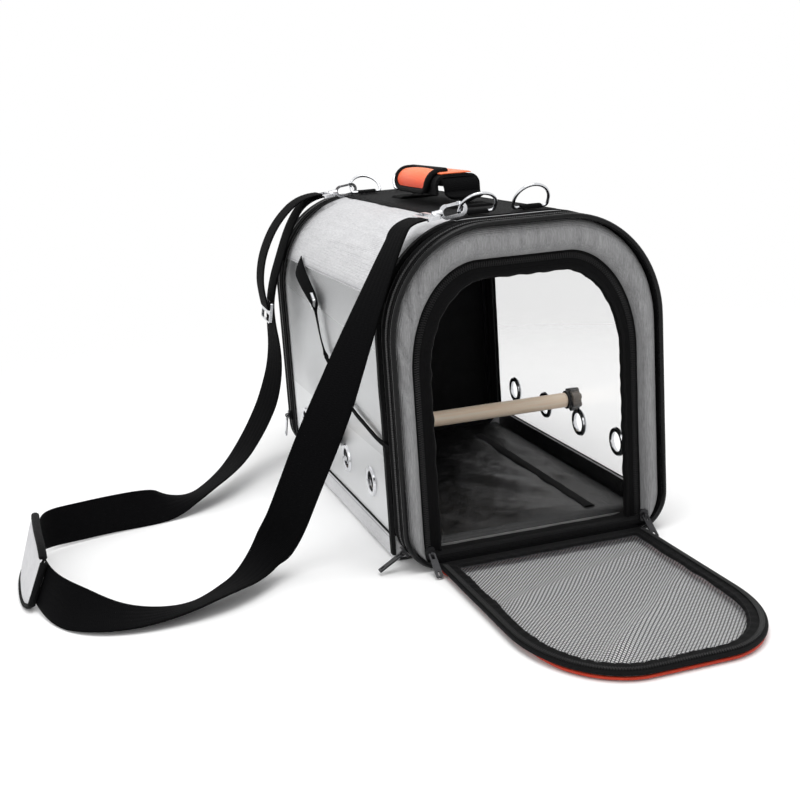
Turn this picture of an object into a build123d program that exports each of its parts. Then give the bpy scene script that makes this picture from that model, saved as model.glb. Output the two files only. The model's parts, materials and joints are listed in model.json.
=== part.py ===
from build123d import *
from math import cos, radians, sin, tan
import os

os.makedirs("parts", exist_ok=True)

# Bird travel carrier, millimetres. X is across, -Y is the door end, +Z is up, and the
# origin is the middle of the base on the surface that the carrier stands on.

# Driving dimensions -----------------------------------------------------------
body_length = 456.0          # between the faces of the two end panels
panel_width = 250.0          # end panel between its piped edges
panel_height = 295.0         # end panel between its piped edges
panel_base = 5.0             # height of the panel's lower edge above the floor
panel_foot_radius = 32.0     # lower corners of the end panels
panel_top_radius = 87.0      # upper corners of the end panels, across
panel_top_rise = 95.0        # upper corners of the end panels, upwards
panel_thickness = 12.0       # padded fabric of the end panels
panel_crown = 6.0            # rounding of the padding at its edges
piping_diameter = 5.0        # welt cord round the end panels
gusset_depth = 42.0          # black zipped band between panel and body
gusset_thickness = 2.0
body_side = 5.0              # how far the body stands out past the panels' edges
body_foot_radius = 6.0       # lower corners of the body
cover_thickness = 2.0        # grey roof fabric with its foam
seam_height = 240.0          # where the roof fabric ends and the clear film starts
skirt_height = 25.0          # grey fabric below the clear film
film_thickness = 0.8
lining_thickness = 1.0
board_thickness = 4.0        # stiffening board of the floor
mat_thickness = 6.0
opening_width = 217.0        # inside the grey padding of the door end
opening_height = 271.0       # top of that opening above the floor
opening_top_radius = 66.0
opening_top_rise = 95.0
surround_width = 17.5        # black zip border inside that opening
door_width = 204.0
door_length = 266.0
door_top_radius = 70.0
door_top_rise = 104.0
door_binding = 15.0          # black edge binding of the door
mesh_pitch_x = 13.5
mesh_pitch_y = 16.5
mesh_gap = 0.80              # open share of the mesh pitch
eyelet_count = 4
eyelet_pitch = 88.0
eyelet_height = 61.0
eyelet_outer = 30.0
eyelet_bore = 20.0
perch_diameter = 16.0
perch_height = 80.0
perch_setback = -16.0        # perch to the middle of the body, along Y
stud_diameter = 6.0
knob_diameter = 26.0
knob_length = 10.0
knob_lobes = 7
strip_width = 100.0          # black webbing strip along the roof
strip_thickness = 1.2
handle_front = -96.0         # front leg of the handle, along Y
handle_rear = 76.0
handle_rise = 30.0           # top of the handle's webbing above its feet
handle_width = 36.0
handle_thickness = 4.0
wrap_width = 50.0
wrap_length = 118.0
wrap_drop = 26.0
ring_wire = 3.0
ring_width = 34.0            # straight bar of a D ring, wire centre to wire centre
ring_depth = 24.0
ring_spacing = 52.0          # between the two D rings of one end
ring_setback = 52.0          # D ring bars behind the end panels' faces
webbing_width = 38.0         # shoulder strap
webbing_thickness = 2.2
tie_width = 9.0
tie_thickness = 1.4

# Clearances -------------------------------------------------------------------
cloth_gap = 0.3              # between fabric pieces that move on each other
running_fit = 0.06           # radial, pins and bars in their holes

half_length = body_length / 2
half_panel = panel_width / 2
panel_top = panel_base + panel_height
gusset_outer = 1.0 + gusset_thickness
body_half = half_panel + body_side
body_top = panel_top + body_side
gusset_back = half_length - 2.0 - gusset_depth
cover_half = gusset_back + 6.0


# Outlines ---------------------------------------------------------------------
def arch(half, low, high, foot, top_x, top_z):
    """Arched outline: straight foot and sides, elliptical upper corners."""
    with BuildSketch(mode=Mode.PRIVATE) as outline:
        with BuildLine():
            Line((-half + foot, low), (half - foot, low))
            if foot > 0:
                CenterArc((half - foot, low + foot), foot, -90, 90)
                CenterArc((-half + foot, low + foot), foot, 180, 90)
            Line((half, low + foot), (half, high - top_z))
            EllipticalCenterArc((half - top_x, high - top_z), top_x, top_z, 0, arc_size=90)
            Line((half - top_x, high), (top_x - half, high))
            EllipticalCenterArc((top_x - half, high - top_z), top_x, top_z, 90, arc_size=90)
            Line((-half, high - top_z), (-half, low + foot))
        make_face()
    return outline.sketch


def panel_arch(out):
    """End panel's outline, moved outwards by out."""
    return arch(half_panel + out, panel_base - out, panel_top + out, panel_foot_radius + out,
                panel_top_radius + out, panel_top_rise + out)


def body_arch(depth):
    """Outline of the body between the gussets, depth below its outer face."""
    return arch(body_half - depth, depth, body_top - depth, body_foot_radius - depth,
                panel_top_radius + body_side - depth, panel_top_rise + body_side - depth)


def opening_arch(inset, low):
    return arch(opening_width / 2 - inset, low, opening_height - inset, 0,
                opening_top_radius - inset * 0.6, opening_top_rise - inset * 0.8)


def door_arch(inset, low=0.0):
    return arch(door_width / 2 - inset, low, door_length - inset, 0,
                door_top_radius - inset * 0.8, door_top_rise - inset * 0.9)


def end_plane(distance, side):
    """Upright plane at distance from the middle, facing the front (-1) or the rear (1)."""
    if side < 0:
        return Plane.XZ.offset(distance)
    return Plane(origin=(0, distance, 0), x_dir=(-1, 0, 0), z_dir=(0, 1, 0))


def finish(part, name):
    part.label = name
    export_step(part, f"parts/{name}.step")


# Base -------------------------------------------------------------------------
with BuildPart() as base_skin:
    with BuildSketch(Plane.XY):
        RectangleRounded(2 * (body_half - body_foot_radius), 2 * cover_half, 4)
    extrude(amount=cover_thickness)
finish(base_skin.part, "base_skin")

with BuildPart() as base_board:
    with BuildSketch(Plane.XY.offset(cover_thickness)):
        RectangleRounded(2 * (body_half - 10), 2 * gusset_back, 6)
    extrude(amount=board_thickness)
finish(base_board.part, "base_board")

mat_base = cover_thickness + board_thickness
mat_half = body_half - cover_thickness - lining_thickness - 2.0
with BuildPart() as floor_mat:
    with BuildSketch(Plane.XY.offset(mat_base)):
        RectangleRounded(2 * mat_half, 2 * gusset_back - 2, 12)
    extrude(amount=mat_thickness)
    fillet(floor_mat.faces().sort_by(Axis.Z)[-1].edges(), mat_thickness * 0.7)
finish(floor_mat.part, "floor_mat")

strip_place = (78.0, -20.0)
strip_size = (12.0, 300.0)
with BuildPart() as floor_strip:
    with BuildSketch(Plane.XY.offset(mat_base + mat_thickness)):
        with Locations(strip_place):
            RectangleRounded(strip_size[0], strip_size[1], 2)
    extrude(amount=1.0)
finish(floor_strip.part, "floor_strip")

# Grey skirts below the film, with the fabric that closes the body's lower corners.
with BuildPart() as side_skirts:
    with BuildSketch(Plane.XZ.offset(-cover_half)):
        add(body_arch(0))
        add(body_arch(cover_thickness), mode=Mode.SUBTRACT)
    extrude(amount=2 * cover_half)
    for side in (-1, 1):
        with BuildSketch(end_plane(cover_half - 2, side)):
            add(body_arch(cover_thickness))
            add(panel_arch(gusset_outer), mode=Mode.SUBTRACT)
        extrude(amount=2.0)
    split(bisect_by=Plane.XY.offset(skirt_height), keep=Keep.BOTTOM)
    with BuildSketch(Plane.XY.offset(-1)):
        RectangleRounded(2 * (body_half - body_foot_radius), 2 * cover_half + 2, 4)
    extrude(amount=cover_thickness + 1, mode=Mode.SUBTRACT)
finish(side_skirts.part, "side_skirts")

# Roof, its lining and the lining of the skirts ----------------------------------
with BuildPart() as top_cover:
    with BuildSketch(Plane.XZ.offset(-cover_half)):
        add(body_arch(0))
        add(body_arch(cover_thickness), mode=Mode.SUBTRACT)
    extrude(amount=2 * cover_half)
    split(bisect_by=Plane.XY.offset(seam_height), keep=Keep.TOP)
finish(top_cover.part, "top_cover")

lining_depth = cover_thickness + lining_thickness
with BuildPart() as cover_lining:
    with BuildSketch(Plane.XZ.offset(-gusset_back)):
        add(body_arch(cover_thickness))
        add(body_arch(lining_depth), mode=Mode.SUBTRACT)
    extrude(amount=2 * gusset_back)
    split(bisect_by=Plane.XY.offset(seam_height), keep=Keep.TOP)
finish(cover_lining.part, "cover_lining")

with BuildPart() as skirt_lining:
    with BuildSketch(Plane.XY.offset(mat_base)):
        for side in (-1, 1):
            with Locations((side * (body_half - cover_thickness - lining_thickness / 2), 0)):
                Rectangle(lining_thickness, 2 * gusset_back)
    extrude(amount=skirt_height - mat_base)
finish(skirt_lining.part, "skirt_lining")

with BuildPart() as top_strip:
    with BuildSketch(Plane.XZ.offset(-cover_half)):
        add(body_arch(-strip_thickness))
        add(body_arch(0), mode=Mode.SUBTRACT)
        with Locations((0, body_top)):
            Rectangle(strip_width, 40, mode=Mode.INTERSECT)
    extrude(amount=2 * cover_half)
finish(top_strip.part, "top_strip")

# Clear windows with their eyelet and perch holes ----------------------------------
film_outer = 0.4
film_middle = body_half - film_outer - film_thickness / 2
eyelet_places = [
    (eyelet_pitch * (i - (eyelet_count - 1) / 2), eyelet_height) for i in range(eyelet_count)
]
eyelet_barrel = eyelet_bore / 2 + 1.0
for side, name in ((-1, "left_window"), (1, "right_window")):
    with BuildPart() as window:
        with BuildSketch(Plane.XZ.offset(-cover_half)):
            add(body_arch(film_outer))
            add(body_arch(film_outer + film_thickness), mode=Mode.SUBTRACT)
            with Locations((side * body_half, (seam_height + skirt_height) / 2)):
                Rectangle(60, seam_height - skirt_height, mode=Mode.INTERSECT)
        extrude(amount=2 * cover_half)
        with BuildSketch(Plane.YZ.offset(side * film_middle)):
            with Locations(eyelet_places):
                Circle(eyelet_barrel + cloth_gap / 2)
            with Locations((perch_setback, perch_height)):
                Circle(stud_diameter / 2 + cloth_gap)
        extrude(amount=3, both=True, mode=Mode.SUBTRACT)
    finish(window.part, name)

eyelet_flange = 1.6
for side, name in ((-1, "left_eyelets"), (1, "right_eyelets")):
    with BuildPart() as eyelets:
        for along, up in eyelet_places:
            axis_plane = Plane(origin=(side * film_middle, along, up), x_dir=(0, 0, 1), z_dir=(0, 1, 0))
            reach = film_thickness / 2
            with BuildSketch(axis_plane):
                with BuildLine():
                    Polyline(
                        (eyelet_barrel, -reach), (eyelet_outer / 2, -reach),
                        (eyelet_outer / 2 - 1.0, -reach - eyelet_flange),
                        (eyelet_bore / 2 + 0.8, -reach - eyelet_flange),
                        (eyelet_bore / 2, -reach - eyelet_flange + 0.8),
                        (eyelet_bore / 2, reach + eyelet_flange - 0.8),
                        (eyelet_bore / 2 + 0.8, reach + eyelet_flange),
                        (eyelet_outer / 2 - 1.0, reach + eyelet_flange),
                        (eyelet_outer / 2, reach), (eyelet_barrel, reach), close=True,
                    )
                make_face()
            revolve(axis=Axis((side * film_middle, along, up), (1, 0, 0)))
    finish(eyelets.part, name)

# Perch: dowel, studs, washers and knobs -----------------------------------------
washer_thickness = 1.5
washer_diameter = 20.0
film_inner_face = film_middle - film_thickness / 2
film_outer_face = film_middle + film_thickness / 2
dowel_half = film_inner_face - washer_thickness
knob_face = film_outer_face + washer_thickness + cloth_gap
stud_depth = 20.0
perch_plane = Plane.YZ.offset(-dowel_half)
perch_spot = (perch_setback, perch_height)

with BuildPart() as perch:
    with BuildSketch(perch_plane):
        with Locations(perch_spot):
            Circle(perch_diameter / 2)
    extrude(amount=2 * dowel_half)
    chamfer(perch.edges().filter_by(GeomType.CIRCLE), 1.0)
    for side in (-1, 1):
        with BuildSketch(Plane.YZ.offset(side * dowel_half)):
            with Locations(perch_spot):
                Circle(stud_diameter / 2 + running_fit)
        extrude(amount=-side * stud_depth, mode=Mode.SUBTRACT)
finish(perch.part, "perch")

with BuildPart() as perch_studs:
    for side in (-1, 1):
        with BuildSketch(Plane.YZ.offset(side * (dowel_half - stud_depth))):
            with Locations(perch_spot):
                Circle(stud_diameter / 2)
        extrude(amount=side * (stud_depth + knob_face - dowel_half + knob_length - 3))
finish(perch_studs.part, "perch_studs")

with BuildPart() as perch_washers:
    for side in (-1, 1):
        for face in (dowel_half, film_outer_face):
            with BuildSketch(Plane.YZ.offset(side * face)):
                with Locations(perch_spot):
                    Circle(washer_diameter / 2)
                    Circle(stud_diameter / 2 + running_fit, mode=Mode.SUBTRACT)
            extrude(amount=side * washer_thickness)
finish(perch_washers.part, "perch_washers")

lobe_radius = 3.6
for side, name in ((-1, "left_knob"), (1, "right_knob")):
    with BuildPart() as knob:
        with BuildSketch(Plane.YZ.offset(side * knob_face)) as star:
            with Locations(perch_spot):
                Circle(knob_diameter / 2 - 2.2)
                with PolarLocations(knob_diameter / 2 - lobe_radius, knob_lobes):
                    Circle(lobe_radius)
            fillet(star.vertices(), 0.8)
        extrude(amount=side * knob_length)
        fillet(knob.faces().sort_by(Axis.X)[0 if side < 0 else -1].edges(), 1.0)
        with BuildSketch(Plane.YZ.offset(side * knob_face)):
            with Locations(perch_spot):
                Circle(stud_diameter / 2 + running_fit)
        extrude(amount=side * (knob_length - 2), mode=Mode.SUBTRACT)
    finish(knob.part, name)

# Front end ----------------------------------------------------------------------
panel_face = half_length - 1.0
panel_back = panel_face - panel_thickness
with BuildPart() as front_panel:
    with BuildSketch(end_plane(panel_back, -1)):
        add(panel_arch(1.0))
        add(opening_arch(0, panel_base - 10), mode=Mode.SUBTRACT)
    extrude(amount=panel_thickness)
    fillet(front_panel.faces().sort_by(Axis.Y)[0].edges(), panel_crown)
finish(front_panel.part, "front_panel")

sill_height = 14.0
with BuildPart() as door_surround:
    with BuildSketch(end_plane(panel_back, -1)):
        add(opening_arch(0, sill_height))
        add(opening_arch(surround_width, sill_height - 1), mode=Mode.SUBTRACT)
    extrude(amount=5.0)
    with BuildSketch(end_plane(panel_back - 1.0, -1)):
        add(panel_arch(1.0))
        add(opening_arch(surround_width, panel_base - 10), mode=Mode.SUBTRACT)
    extrude(amount=1.0)
finish(door_surround.part, "door_surround")

with BuildPart() as door_sill:
    with BuildSketch(end_plane(panel_back, -1)):
        add(panel_arch(1.0))
        Rectangle(opening_width, 2 * sill_height, mode=Mode.INTERSECT)
    extrude(amount=panel_thickness - 1)
    fillet(door_sill.faces().sort_by(Axis.Z)[-1].edges().sort_by(Axis.Y)[0], 3)
finish(door_sill.part, "door_sill")


def piping(name, side):
    """Cord sewn round the front edge of a gusset, flat where it meets the gusset."""
    radius = piping_diameter / 2
    centre = half_length - 0.5
    flat = half_length - 2.0
    with BuildPart() as bead:
        with BuildSketch(end_plane(flat, side)):
            add(panel_arch(piping_diameter))
            add(panel_arch(0.3), mode=Mode.SUBTRACT)
        extrude(amount=centre + radius - flat)
        outer_face = bead.faces().filter_by(Axis.Y).sort_by(Axis.Y)[0 if side < 0 else -1]
        fillet(outer_face.edges(), radius * 0.92)
    finish(bead.part, name)


def gusset(name, side):
    """Zipped fabric band with a sewn ridge behind the zip."""
    with BuildPart() as sleeve:
        with BuildSketch(end_plane(gusset_back, side)):
            add(panel_arch(gusset_outer))
            add(panel_arch(1.0), mode=Mode.SUBTRACT)
        extrude(amount=gusset_depth)
        with BuildSketch(end_plane(gusset_back + 17.0, side)):
            add(panel_arch(gusset_outer + 2.0))
            add(panel_arch(gusset_outer - 0.5), mode=Mode.SUBTRACT)
        extrude(amount=4.0)
    finish(sleeve.part, name)


def gusset_zip(name, side):
    """Zip chain on the gusset: two tapes with a raised coil between them."""
    start = gusset_back + 25.0
    with BuildPart() as chain:
        with BuildSketch(end_plane(start, side)):
            add(panel_arch(gusset_outer + 1.0))
            add(panel_arch(gusset_outer), mode=Mode.SUBTRACT)
        extrude(amount=13.0)
        with BuildSketch(end_plane(start + 4.0, side)):
            add(panel_arch(gusset_outer + 2.0))
            add(panel_arch(gusset_outer + 0.5), mode=Mode.SUBTRACT)
        extrude(amount=5.0)
    finish(chain.part, name)


hoop_wire = 3.0
with BuildPart() as wire_hoops:
    for side in (-1, 1):
        with BuildSketch(end_plane(panel_back - 4.5 - hoop_wire / 2, side)):
            add(panel_arch(1.0))
            add(panel_arch(1.0 - hoop_wire), mode=Mode.SUBTRACT)
        extrude(amount=hoop_wire)
finish(wire_hoops.part, "wire_hoops")

for side, end in ((-1, "front"), (1, "rear")):
    piping(f"{end}_piping", side)
    gusset(f"{end}_gusset", side)
    gusset_zip(f"{end}_zip", side)

# Rear end: a padded panel that unzips and folds down ------------------------------
rear_gap = 0.8
with BuildPart() as rear_panel:
    with BuildSketch(end_plane(panel_back, 1)):
        add(panel_arch(1.0 - rear_gap))
        with Locations((0, panel_base - 1.0 + cloth_gap - 50)):
            Rectangle(400, 100, mode=Mode.SUBTRACT)
    extrude(amount=panel_thickness)
    fillet(rear_panel.faces().sort_by(Axis.Y)[-1].edges(), panel_crown)
finish(rear_panel.part, "rear_panel")

with BuildPart() as rear_lining:
    with BuildSketch(end_plane(panel_back - lining_thickness, 1)):
        add(panel_arch(-1.5))
    extrude(amount=lining_thickness)
finish(rear_lining.part, "rear_lining")

# Door, open on the floor ------------------------------------------------------------
hinge_y = -(half_length + 4.0)
hinge_z = 9.0
door_start = hinge_y - 0.4
door_top = hinge_z - 0.6
frame_thickness = 4.2
tape_end = hinge_y - 0.1


def door_plane(height):
    """Floor plane at a height, with its own Y axis pointing away from the carrier."""
    return Plane(origin=(0, door_start, height), x_dir=(1, 0, 0), z_dir=(0, 0, -1))


with BuildPart() as door_frame:
    with BuildSketch(door_plane(door_top)):
        add(door_arch(0))
        add(door_arch(door_binding, door_binding), mode=Mode.SUBTRACT)
    extrude(amount=frame_thickness)
    fillet(door_frame.faces().sort_by(Axis.Z)[-1].edges(), 1.4)
finish(door_frame.part, "door_frame")

mesh_thickness = 0.8
mesh_top = door_top - 1.8
rim = 3.0
mesh_half = door_width / 2 - door_binding
mesh_far = door_length - door_binding
corner_x = mesh_half - (door_top_radius - door_binding * 0.8)
corner_y = mesh_far - (door_top_rise - door_binding * 0.9)


def inside_mesh(x, y, margin):
    """True where a gap of the net clears the edge binding."""
    if abs(x) > mesh_half - margin or y < door_binding + margin or y > mesh_far - margin:
        return False
    over_x = (abs(x) - corner_x) / (mesh_half - corner_x - margin)
    over_y = (y - corner_y) / (mesh_far - corner_y - margin)
    return over_x < 0 or over_y < 0 or over_x ** 2 + over_y ** 2 < 1


mesh_gaps = []
row_count = int(2 * door_length / mesh_pitch_y)
for row in range(row_count):
    shift = mesh_pitch_x / 2 if row % 2 else 0.0
    for column in range(-12, 13):
        spot = (column * mesh_pitch_x + shift, row * mesh_pitch_y / 2)
        if inside_mesh(spot[0], spot[1], rim + mesh_pitch_x / 2):
            mesh_gaps.append(spot)
print("mesh gaps", len(mesh_gaps))

with BuildPart() as door_mesh:
    with BuildSketch(door_plane(mesh_top)):
        add(door_arch(door_binding, door_binding))
        with BuildSketch(mode=Mode.PRIVATE) as diamond:
            with BuildLine():
                Polyline(
                    (mesh_pitch_x * mesh_gap / 2, 0), (0, mesh_pitch_y * mesh_gap / 2),
                    (-mesh_pitch_x * mesh_gap / 2, 0), (0, -mesh_pitch_y * mesh_gap / 2), close=True,
                )
            make_face()
        with Locations(mesh_gaps):
            add(diamond.sketch, mode=Mode.SUBTRACT)
    extrude(amount=mesh_thickness)
finish(door_mesh.part, "door_mesh")

with BuildPart() as door_piping:
    with BuildSketch(door_plane(door_top - frame_thickness)):
        add(door_arch(0))
        add(door_arch(4.0, -1), mode=Mode.SUBTRACT)
    extrude(amount=door_top - frame_thickness - 0.4)
    fillet(door_piping.faces().sort_by(Axis.Z)[0].edges(), 1.2)
finish(door_piping.part, "door_piping")

with BuildPart() as door_zip:
    with BuildSketch(door_plane(door_top + 1.0)):
        add(door_arch(3.0, 6))
        add(door_arch(6.0, 5), mode=Mode.SUBTRACT)
    extrude(amount=1.0)
finish(door_zip.part, "door_zip")

with BuildPart() as door_hinge_tape:
    with BuildSketch(Plane.XY.offset(door_top - 1.2)):
        with Locations((0, (tape_end - panel_face + 1.0) / 2)):
            Rectangle(door_width - 4, -tape_end - panel_face + 1.0)
    extrude(amount=1.2)
finish(door_hinge_tape.part, "door_hinge_tape")

# Handle ---------------------------------------------------------------------------
strip_top = body_top + strip_thickness
foot_thickness = 2.0
foot_size = (44.0, 36.0)
with BuildPart() as handle_feet:
    with BuildSketch(Plane.XY.offset(strip_top)):
        with Locations((0, handle_front), (0, handle_rear)):
            RectangleRounded(foot_size[0], foot_size[1], 5)
    extrude(amount=foot_thickness)
finish(handle_feet.part, "handle_feet")

handle_lean = 22.0           # each leg ends in a point, so that it can lean this far
pivot_z = strip_top + foot_thickness + cloth_gap
handle_middle = (handle_front + handle_rear) / 2
handle_span = handle_rear - handle_front


def round_top(width, height, base, radius):
    """Rectangle standing on base, with its two upper corners rounded."""
    with BuildSketch(mode=Mode.PRIVATE) as shape:
        with Locations((0, base + height / 2)):
            Rectangle(width, height)
        fillet(shape.vertices().group_by(Axis.Y)[-1], radius)
    return shape.sketch


with BuildPart() as handle_strap:
    with BuildSketch(Plane.YZ.offset(-handle_width / 2)):
        with Locations((handle_middle, 0)):
            add(round_top(handle_span + handle_thickness, handle_rise, pivot_z, 18))
            add(
                round_top(handle_span - handle_thickness, handle_rise - handle_thickness + 5,
                          pivot_z - 5, 14),
                mode=Mode.SUBTRACT,
            )
    extrude(amount=handle_width)
    with BuildSketch(Plane.XZ.offset(-handle_rear - 20)):
        with BuildLine():
            reach = handle_width / 2 + 1
            Polyline(
                (0, pivot_z), (reach, pivot_z + reach * tan(radians(handle_lean))), (reach, pivot_z - 2),
                (-reach, pivot_z - 2), (-reach, pivot_z + reach * tan(radians(handle_lean))), close=True,
            )
        make_face()
    extrude(amount=handle_span + 40, mode=Mode.SUBTRACT)
finish(handle_strap.part, "handle_strap")

bar_top = pivot_z + handle_rise
wrap_wall = 6.0
with BuildPart() as handle_wrap:
    with BuildSketch(Plane.XZ.offset(-handle_middle - wrap_length / 2)):
        add(round_top(wrap_width, wrap_drop, bar_top + wrap_wall - wrap_drop, 13))
        add(
            round_top(handle_width + 2.4, wrap_drop, bar_top - wrap_drop, 1.0),
            mode=Mode.SUBTRACT,
        )
    extrude(amount=wrap_length)
finish(handle_wrap.part, "handle_wrap")

# D rings and their webbing loops ------------------------------------------------------
loop_size = (20.0, 15.0, 5.0)
ring_axis_z = strip_top + loop_size[2] / 2
ring_row = half_length - ring_setback
with BuildPart() as ring_loops:
    with BuildSketch(Plane.XY.offset(strip_top)):
        for row in (-ring_row, ring_row):
            for side in (-1, 1):
                with Locations((side * ring_spacing / 2, row)):
                    Rectangle(loop_size[0], loop_size[1])
    extrude(amount=loop_size[2])
    fillet(ring_loops.faces().group_by(Axis.Z)[-1].edges().filter_by(Axis.X), 2.0)
    for row in (-ring_row, ring_row):
        with BuildSketch(Plane.YZ.offset(-ring_spacing)):
            with Locations((row, ring_axis_z)):
                Circle(ring_wire / 2 + running_fit)
        extrude(amount=2 * ring_spacing, mode=Mode.SUBTRACT)
finish(ring_loops.part, "ring_loops")


def d_ring(name, x, row, lift):
    """D ring whose straight bar lies in its loop; lift is its angle above the +Y direction."""
    up = Vector(0, cos(radians(lift)), sin(radians(lift)))
    plane = Plane(origin=(x, row, ring_axis_z), x_dir=(1, 0, 0), z_dir=Vector(1, 0, 0).cross(up))
    half = ring_width / 2
    corner = 3.5
    with BuildPart() as ring:
        with BuildLine(plane):
            Line((corner - half, 0), (half - corner, 0))
            CenterArc((half - corner, corner), corner, -90, 90)
            Line((half, corner), (half, ring_depth - half))
            CenterArc((0, ring_depth - half), half, 0, 180)
            Line((-half, ring_depth - half), (-half, corner))
            CenterArc((corner - half, corner), corner, 180, 90)
        with BuildSketch(Plane(origin=plane.origin, x_dir=plane.y_dir, z_dir=(1, 0, 0))):
            Circle(ring_wire / 2)
        sweep()
    finish(ring.part, name)


hooked_lift = 46.0
free_lift = 58.0
ring_x = ring_spacing / 2
d_ring("ring_front_left", -ring_x, -ring_row, 180 - hooked_lift)
d_ring("ring_front_right", ring_x, -ring_row, 180 - free_lift)
d_ring("ring_rear_left", -ring_x, ring_row, hooked_lift)
d_ring("ring_rear_right", ring_x, ring_row, free_lift)

# Snap hooks of the shoulder strap ------------------------------------------------------
hook_wire = 3.0
hook_plate = 2.4
hook_width = 13.6
hook_length = 26.0
hook_slope = 8.0             # the hooks lean down over the roof's shoulder
neck_length = 7.0
neck_diameter = 7.0
nose_gap = 2.2               # a round nose bears on the slanting ring at its edges
bail_inner = webbing_width + 2.0
bail_depth = 7.0
gate_start = 6.0
gate_length = 10.0
bail_start = hook_length - hook_wire + neck_length - 1.0
bail_end = bail_start + bail_depth + 2 * hook_wire


def hook_plane(end):
    """Plane of one hook: origin inside its nose, X down the strap, Y upwards."""
    lift = radians(hooked_lift)
    slope = radians(hook_slope)
    middle = ring_depth - ring_width / 2
    origin = (
        -ring_x - ring_width / 2 + ring_wire / 2 + nose_gap,
        end * (ring_row + middle * cos(lift)),
        ring_axis_z + middle * sin(lift),
    )
    return Plane(origin=origin, x_dir=(-cos(slope), 0, -sin(slope)), z_dir=(0, 1, 0))


for end, name in ((-1, "front"), (1, "rear")):
    nose = hook_plane(end)
    with BuildPart() as hook:
        with BuildSketch(nose.offset(-hook_plate / 2)):
            with Locations((hook_length / 2 - hook_wire, 0)):
                SlotOverall(hook_length, hook_width)
                SlotOverall(hook_length - 2 * hook_wire, hook_width - 2 * hook_wire, mode=Mode.SUBTRACT)
            with Locations((gate_start + gate_length / 2, hook_width / 2)):
                Rectangle(gate_length + 2 * cloth_gap, 2 * hook_wire + 2, mode=Mode.SUBTRACT)
        extrude(amount=hook_plate)
        neck_start = nose.from_local_coords((hook_length - hook_wire - 1.5, 0, 0))
        with BuildSketch(Plane(origin=neck_start, x_dir=(0, 1, 0), z_dir=nose.x_dir)):
            Circle(neck_diameter / 2)
        extrude(amount=neck_length + 1.5)
        bail_middle = nose.from_local_coords(((bail_start + bail_end) / 2, 0, 0))
        bail_plane = Plane(origin=bail_middle, x_dir=nose.x_dir, z_dir=nose.y_dir)
        with BuildSketch(bail_plane.offset(-hook_wire / 2)):
            RectangleRounded(bail_end - bail_start, bail_inner + 2 * hook_wire, 3)
            RectangleRounded(bail_depth, bail_inner, 1, mode=Mode.SUBTRACT)
        extrude(amount=hook_wire)
    finish(hook.part, f"{name}_hook")

    with BuildPart() as gate:
        with BuildSketch(nose.offset(0.2 - hook_plate / 2)):
            with Locations((gate_start + gate_length / 2, hook_width / 2 - hook_wire / 2)):
                Rectangle(gate_length, hook_wire - 0.6)
        extrude(amount=hook_plate - 0.4)
        fillet(gate.edges().filter_by(Axis.Y), 0.6)
    finish(gate.part, f"{name}_gate")

# Shoulder strap -------------------------------------------------------------------------
# Each point of a webbing's route is followed by the direction of its nearer edge.
strap_route = [
    ((-81.2, -180.9, 307.9), (0.0, -1.0, 0.0)),
    ((-100.0, -180.9, 305.2), (0.0, -1.0, 0.0)),
    ((-122.0, -182.0, 287.0), (0.1, -1.0, 0.0)),
    ((-139.0, -183.0, 248.0), (0.35, -0.95, 0.0)),
    ((-158.0, -185.0, 196.0), (0.6, -0.8, 0.0)),
    ((-177.0, -186.0, 152.0), (0.8, -0.6, -0.1)),
    ((-191.0, -187.0, 122.0), (0.9, -0.45, -0.2)),
    ((-212.0, -187.0, 80.0), (0.9, -0.4, -0.3)),
    ((-231.0, -186.0, 46.0), (0.85, -0.4, -0.4)),
    ((-252.0, -190.0, 23.0), (0.7, -0.5, -0.45)),
    ((-276.0, -208.0, 10.5), (0.4, -0.85, -0.25)),
    ((-303.0, -223.0, 5.5), (0.15, -1.0, -0.05)),
    ((-338.0, -229.0, 5.5), (0.0, -1.0, -0.1)),
    ((-372.0, -229.0, 10.8), (0.0, -0.85, -0.5)),
    ((-404.0, -220.0, 18.5), (-0.1, -0.4, -0.9)),
    ((-428.0, -198.0, 21.5), (-0.15, -0.1, -1.0)),
    ((-442.0, -166.0, 28.0), (-0.3, 0.0, -0.94)),
    ((-446.0, -120.0, 31.0), (-0.35, 0.0, -0.94)),
    ((-446.0, -70.0, 31.0), (-0.35, 0.0, -0.94)),
    ((-443.0, -25.0, 30.0), (-0.3, 0.0, -0.95)),
    ((-432.0, 6.0, 25.5), (-0.2, 0.0, -1.0)),
    ((-407.0, 24.0, 21.0), (-0.1, -0.05, -1.0)),
    ((-370.0, 30.0, 20.0), (0.0, -0.15, -1.0)),
    ((-333.0, 42.0, 18.8), (-0.1, -0.4, -0.9)),
    ((-303.0, 58.0, 17.4), (-0.25, -0.75, -0.6)),
    ((-276.0, 80.0, 13.6), (-0.3, -0.9, -0.2)),
    ((-250.0, 108.0, 13.6), (-0.35, -0.92, 0.0)),
    ((-224.0, 142.0, 24.0), (-0.15, -1.0, 0.0)),
    ((-198.0, 174.0, 48.0), (0.1, -1.0, 0.0)),
    ((-176.0, 189.0, 82.0), (0.2, -1.0, 0.0)),
    ((-162.0, 192.2, 115.0), (0.1, -1.0, 0.0)),
    ((-154.0, 192.6, 150.0), (0.0, -1.0, 0.0)),
    ((-149.0, 192.0, 182.0), (0.0, -1.0, 0.0)),
    ((-143.0, 189.0, 214.0), (0.0, -1.0, 0.0)),
    ((-133.0, 186.0, 242.0), (0.0, -1.0, 0.0)),
    ((-119.0, 183.0, 278.0), (0.0, -1.0, 0.0)),
    ((-100.0, 180.9, 305.2), (0.0, -1.0, 0.0)),
    ((-81.2, 180.9, 307.9), (0.0, -1.0, 0.0)),
]

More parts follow.
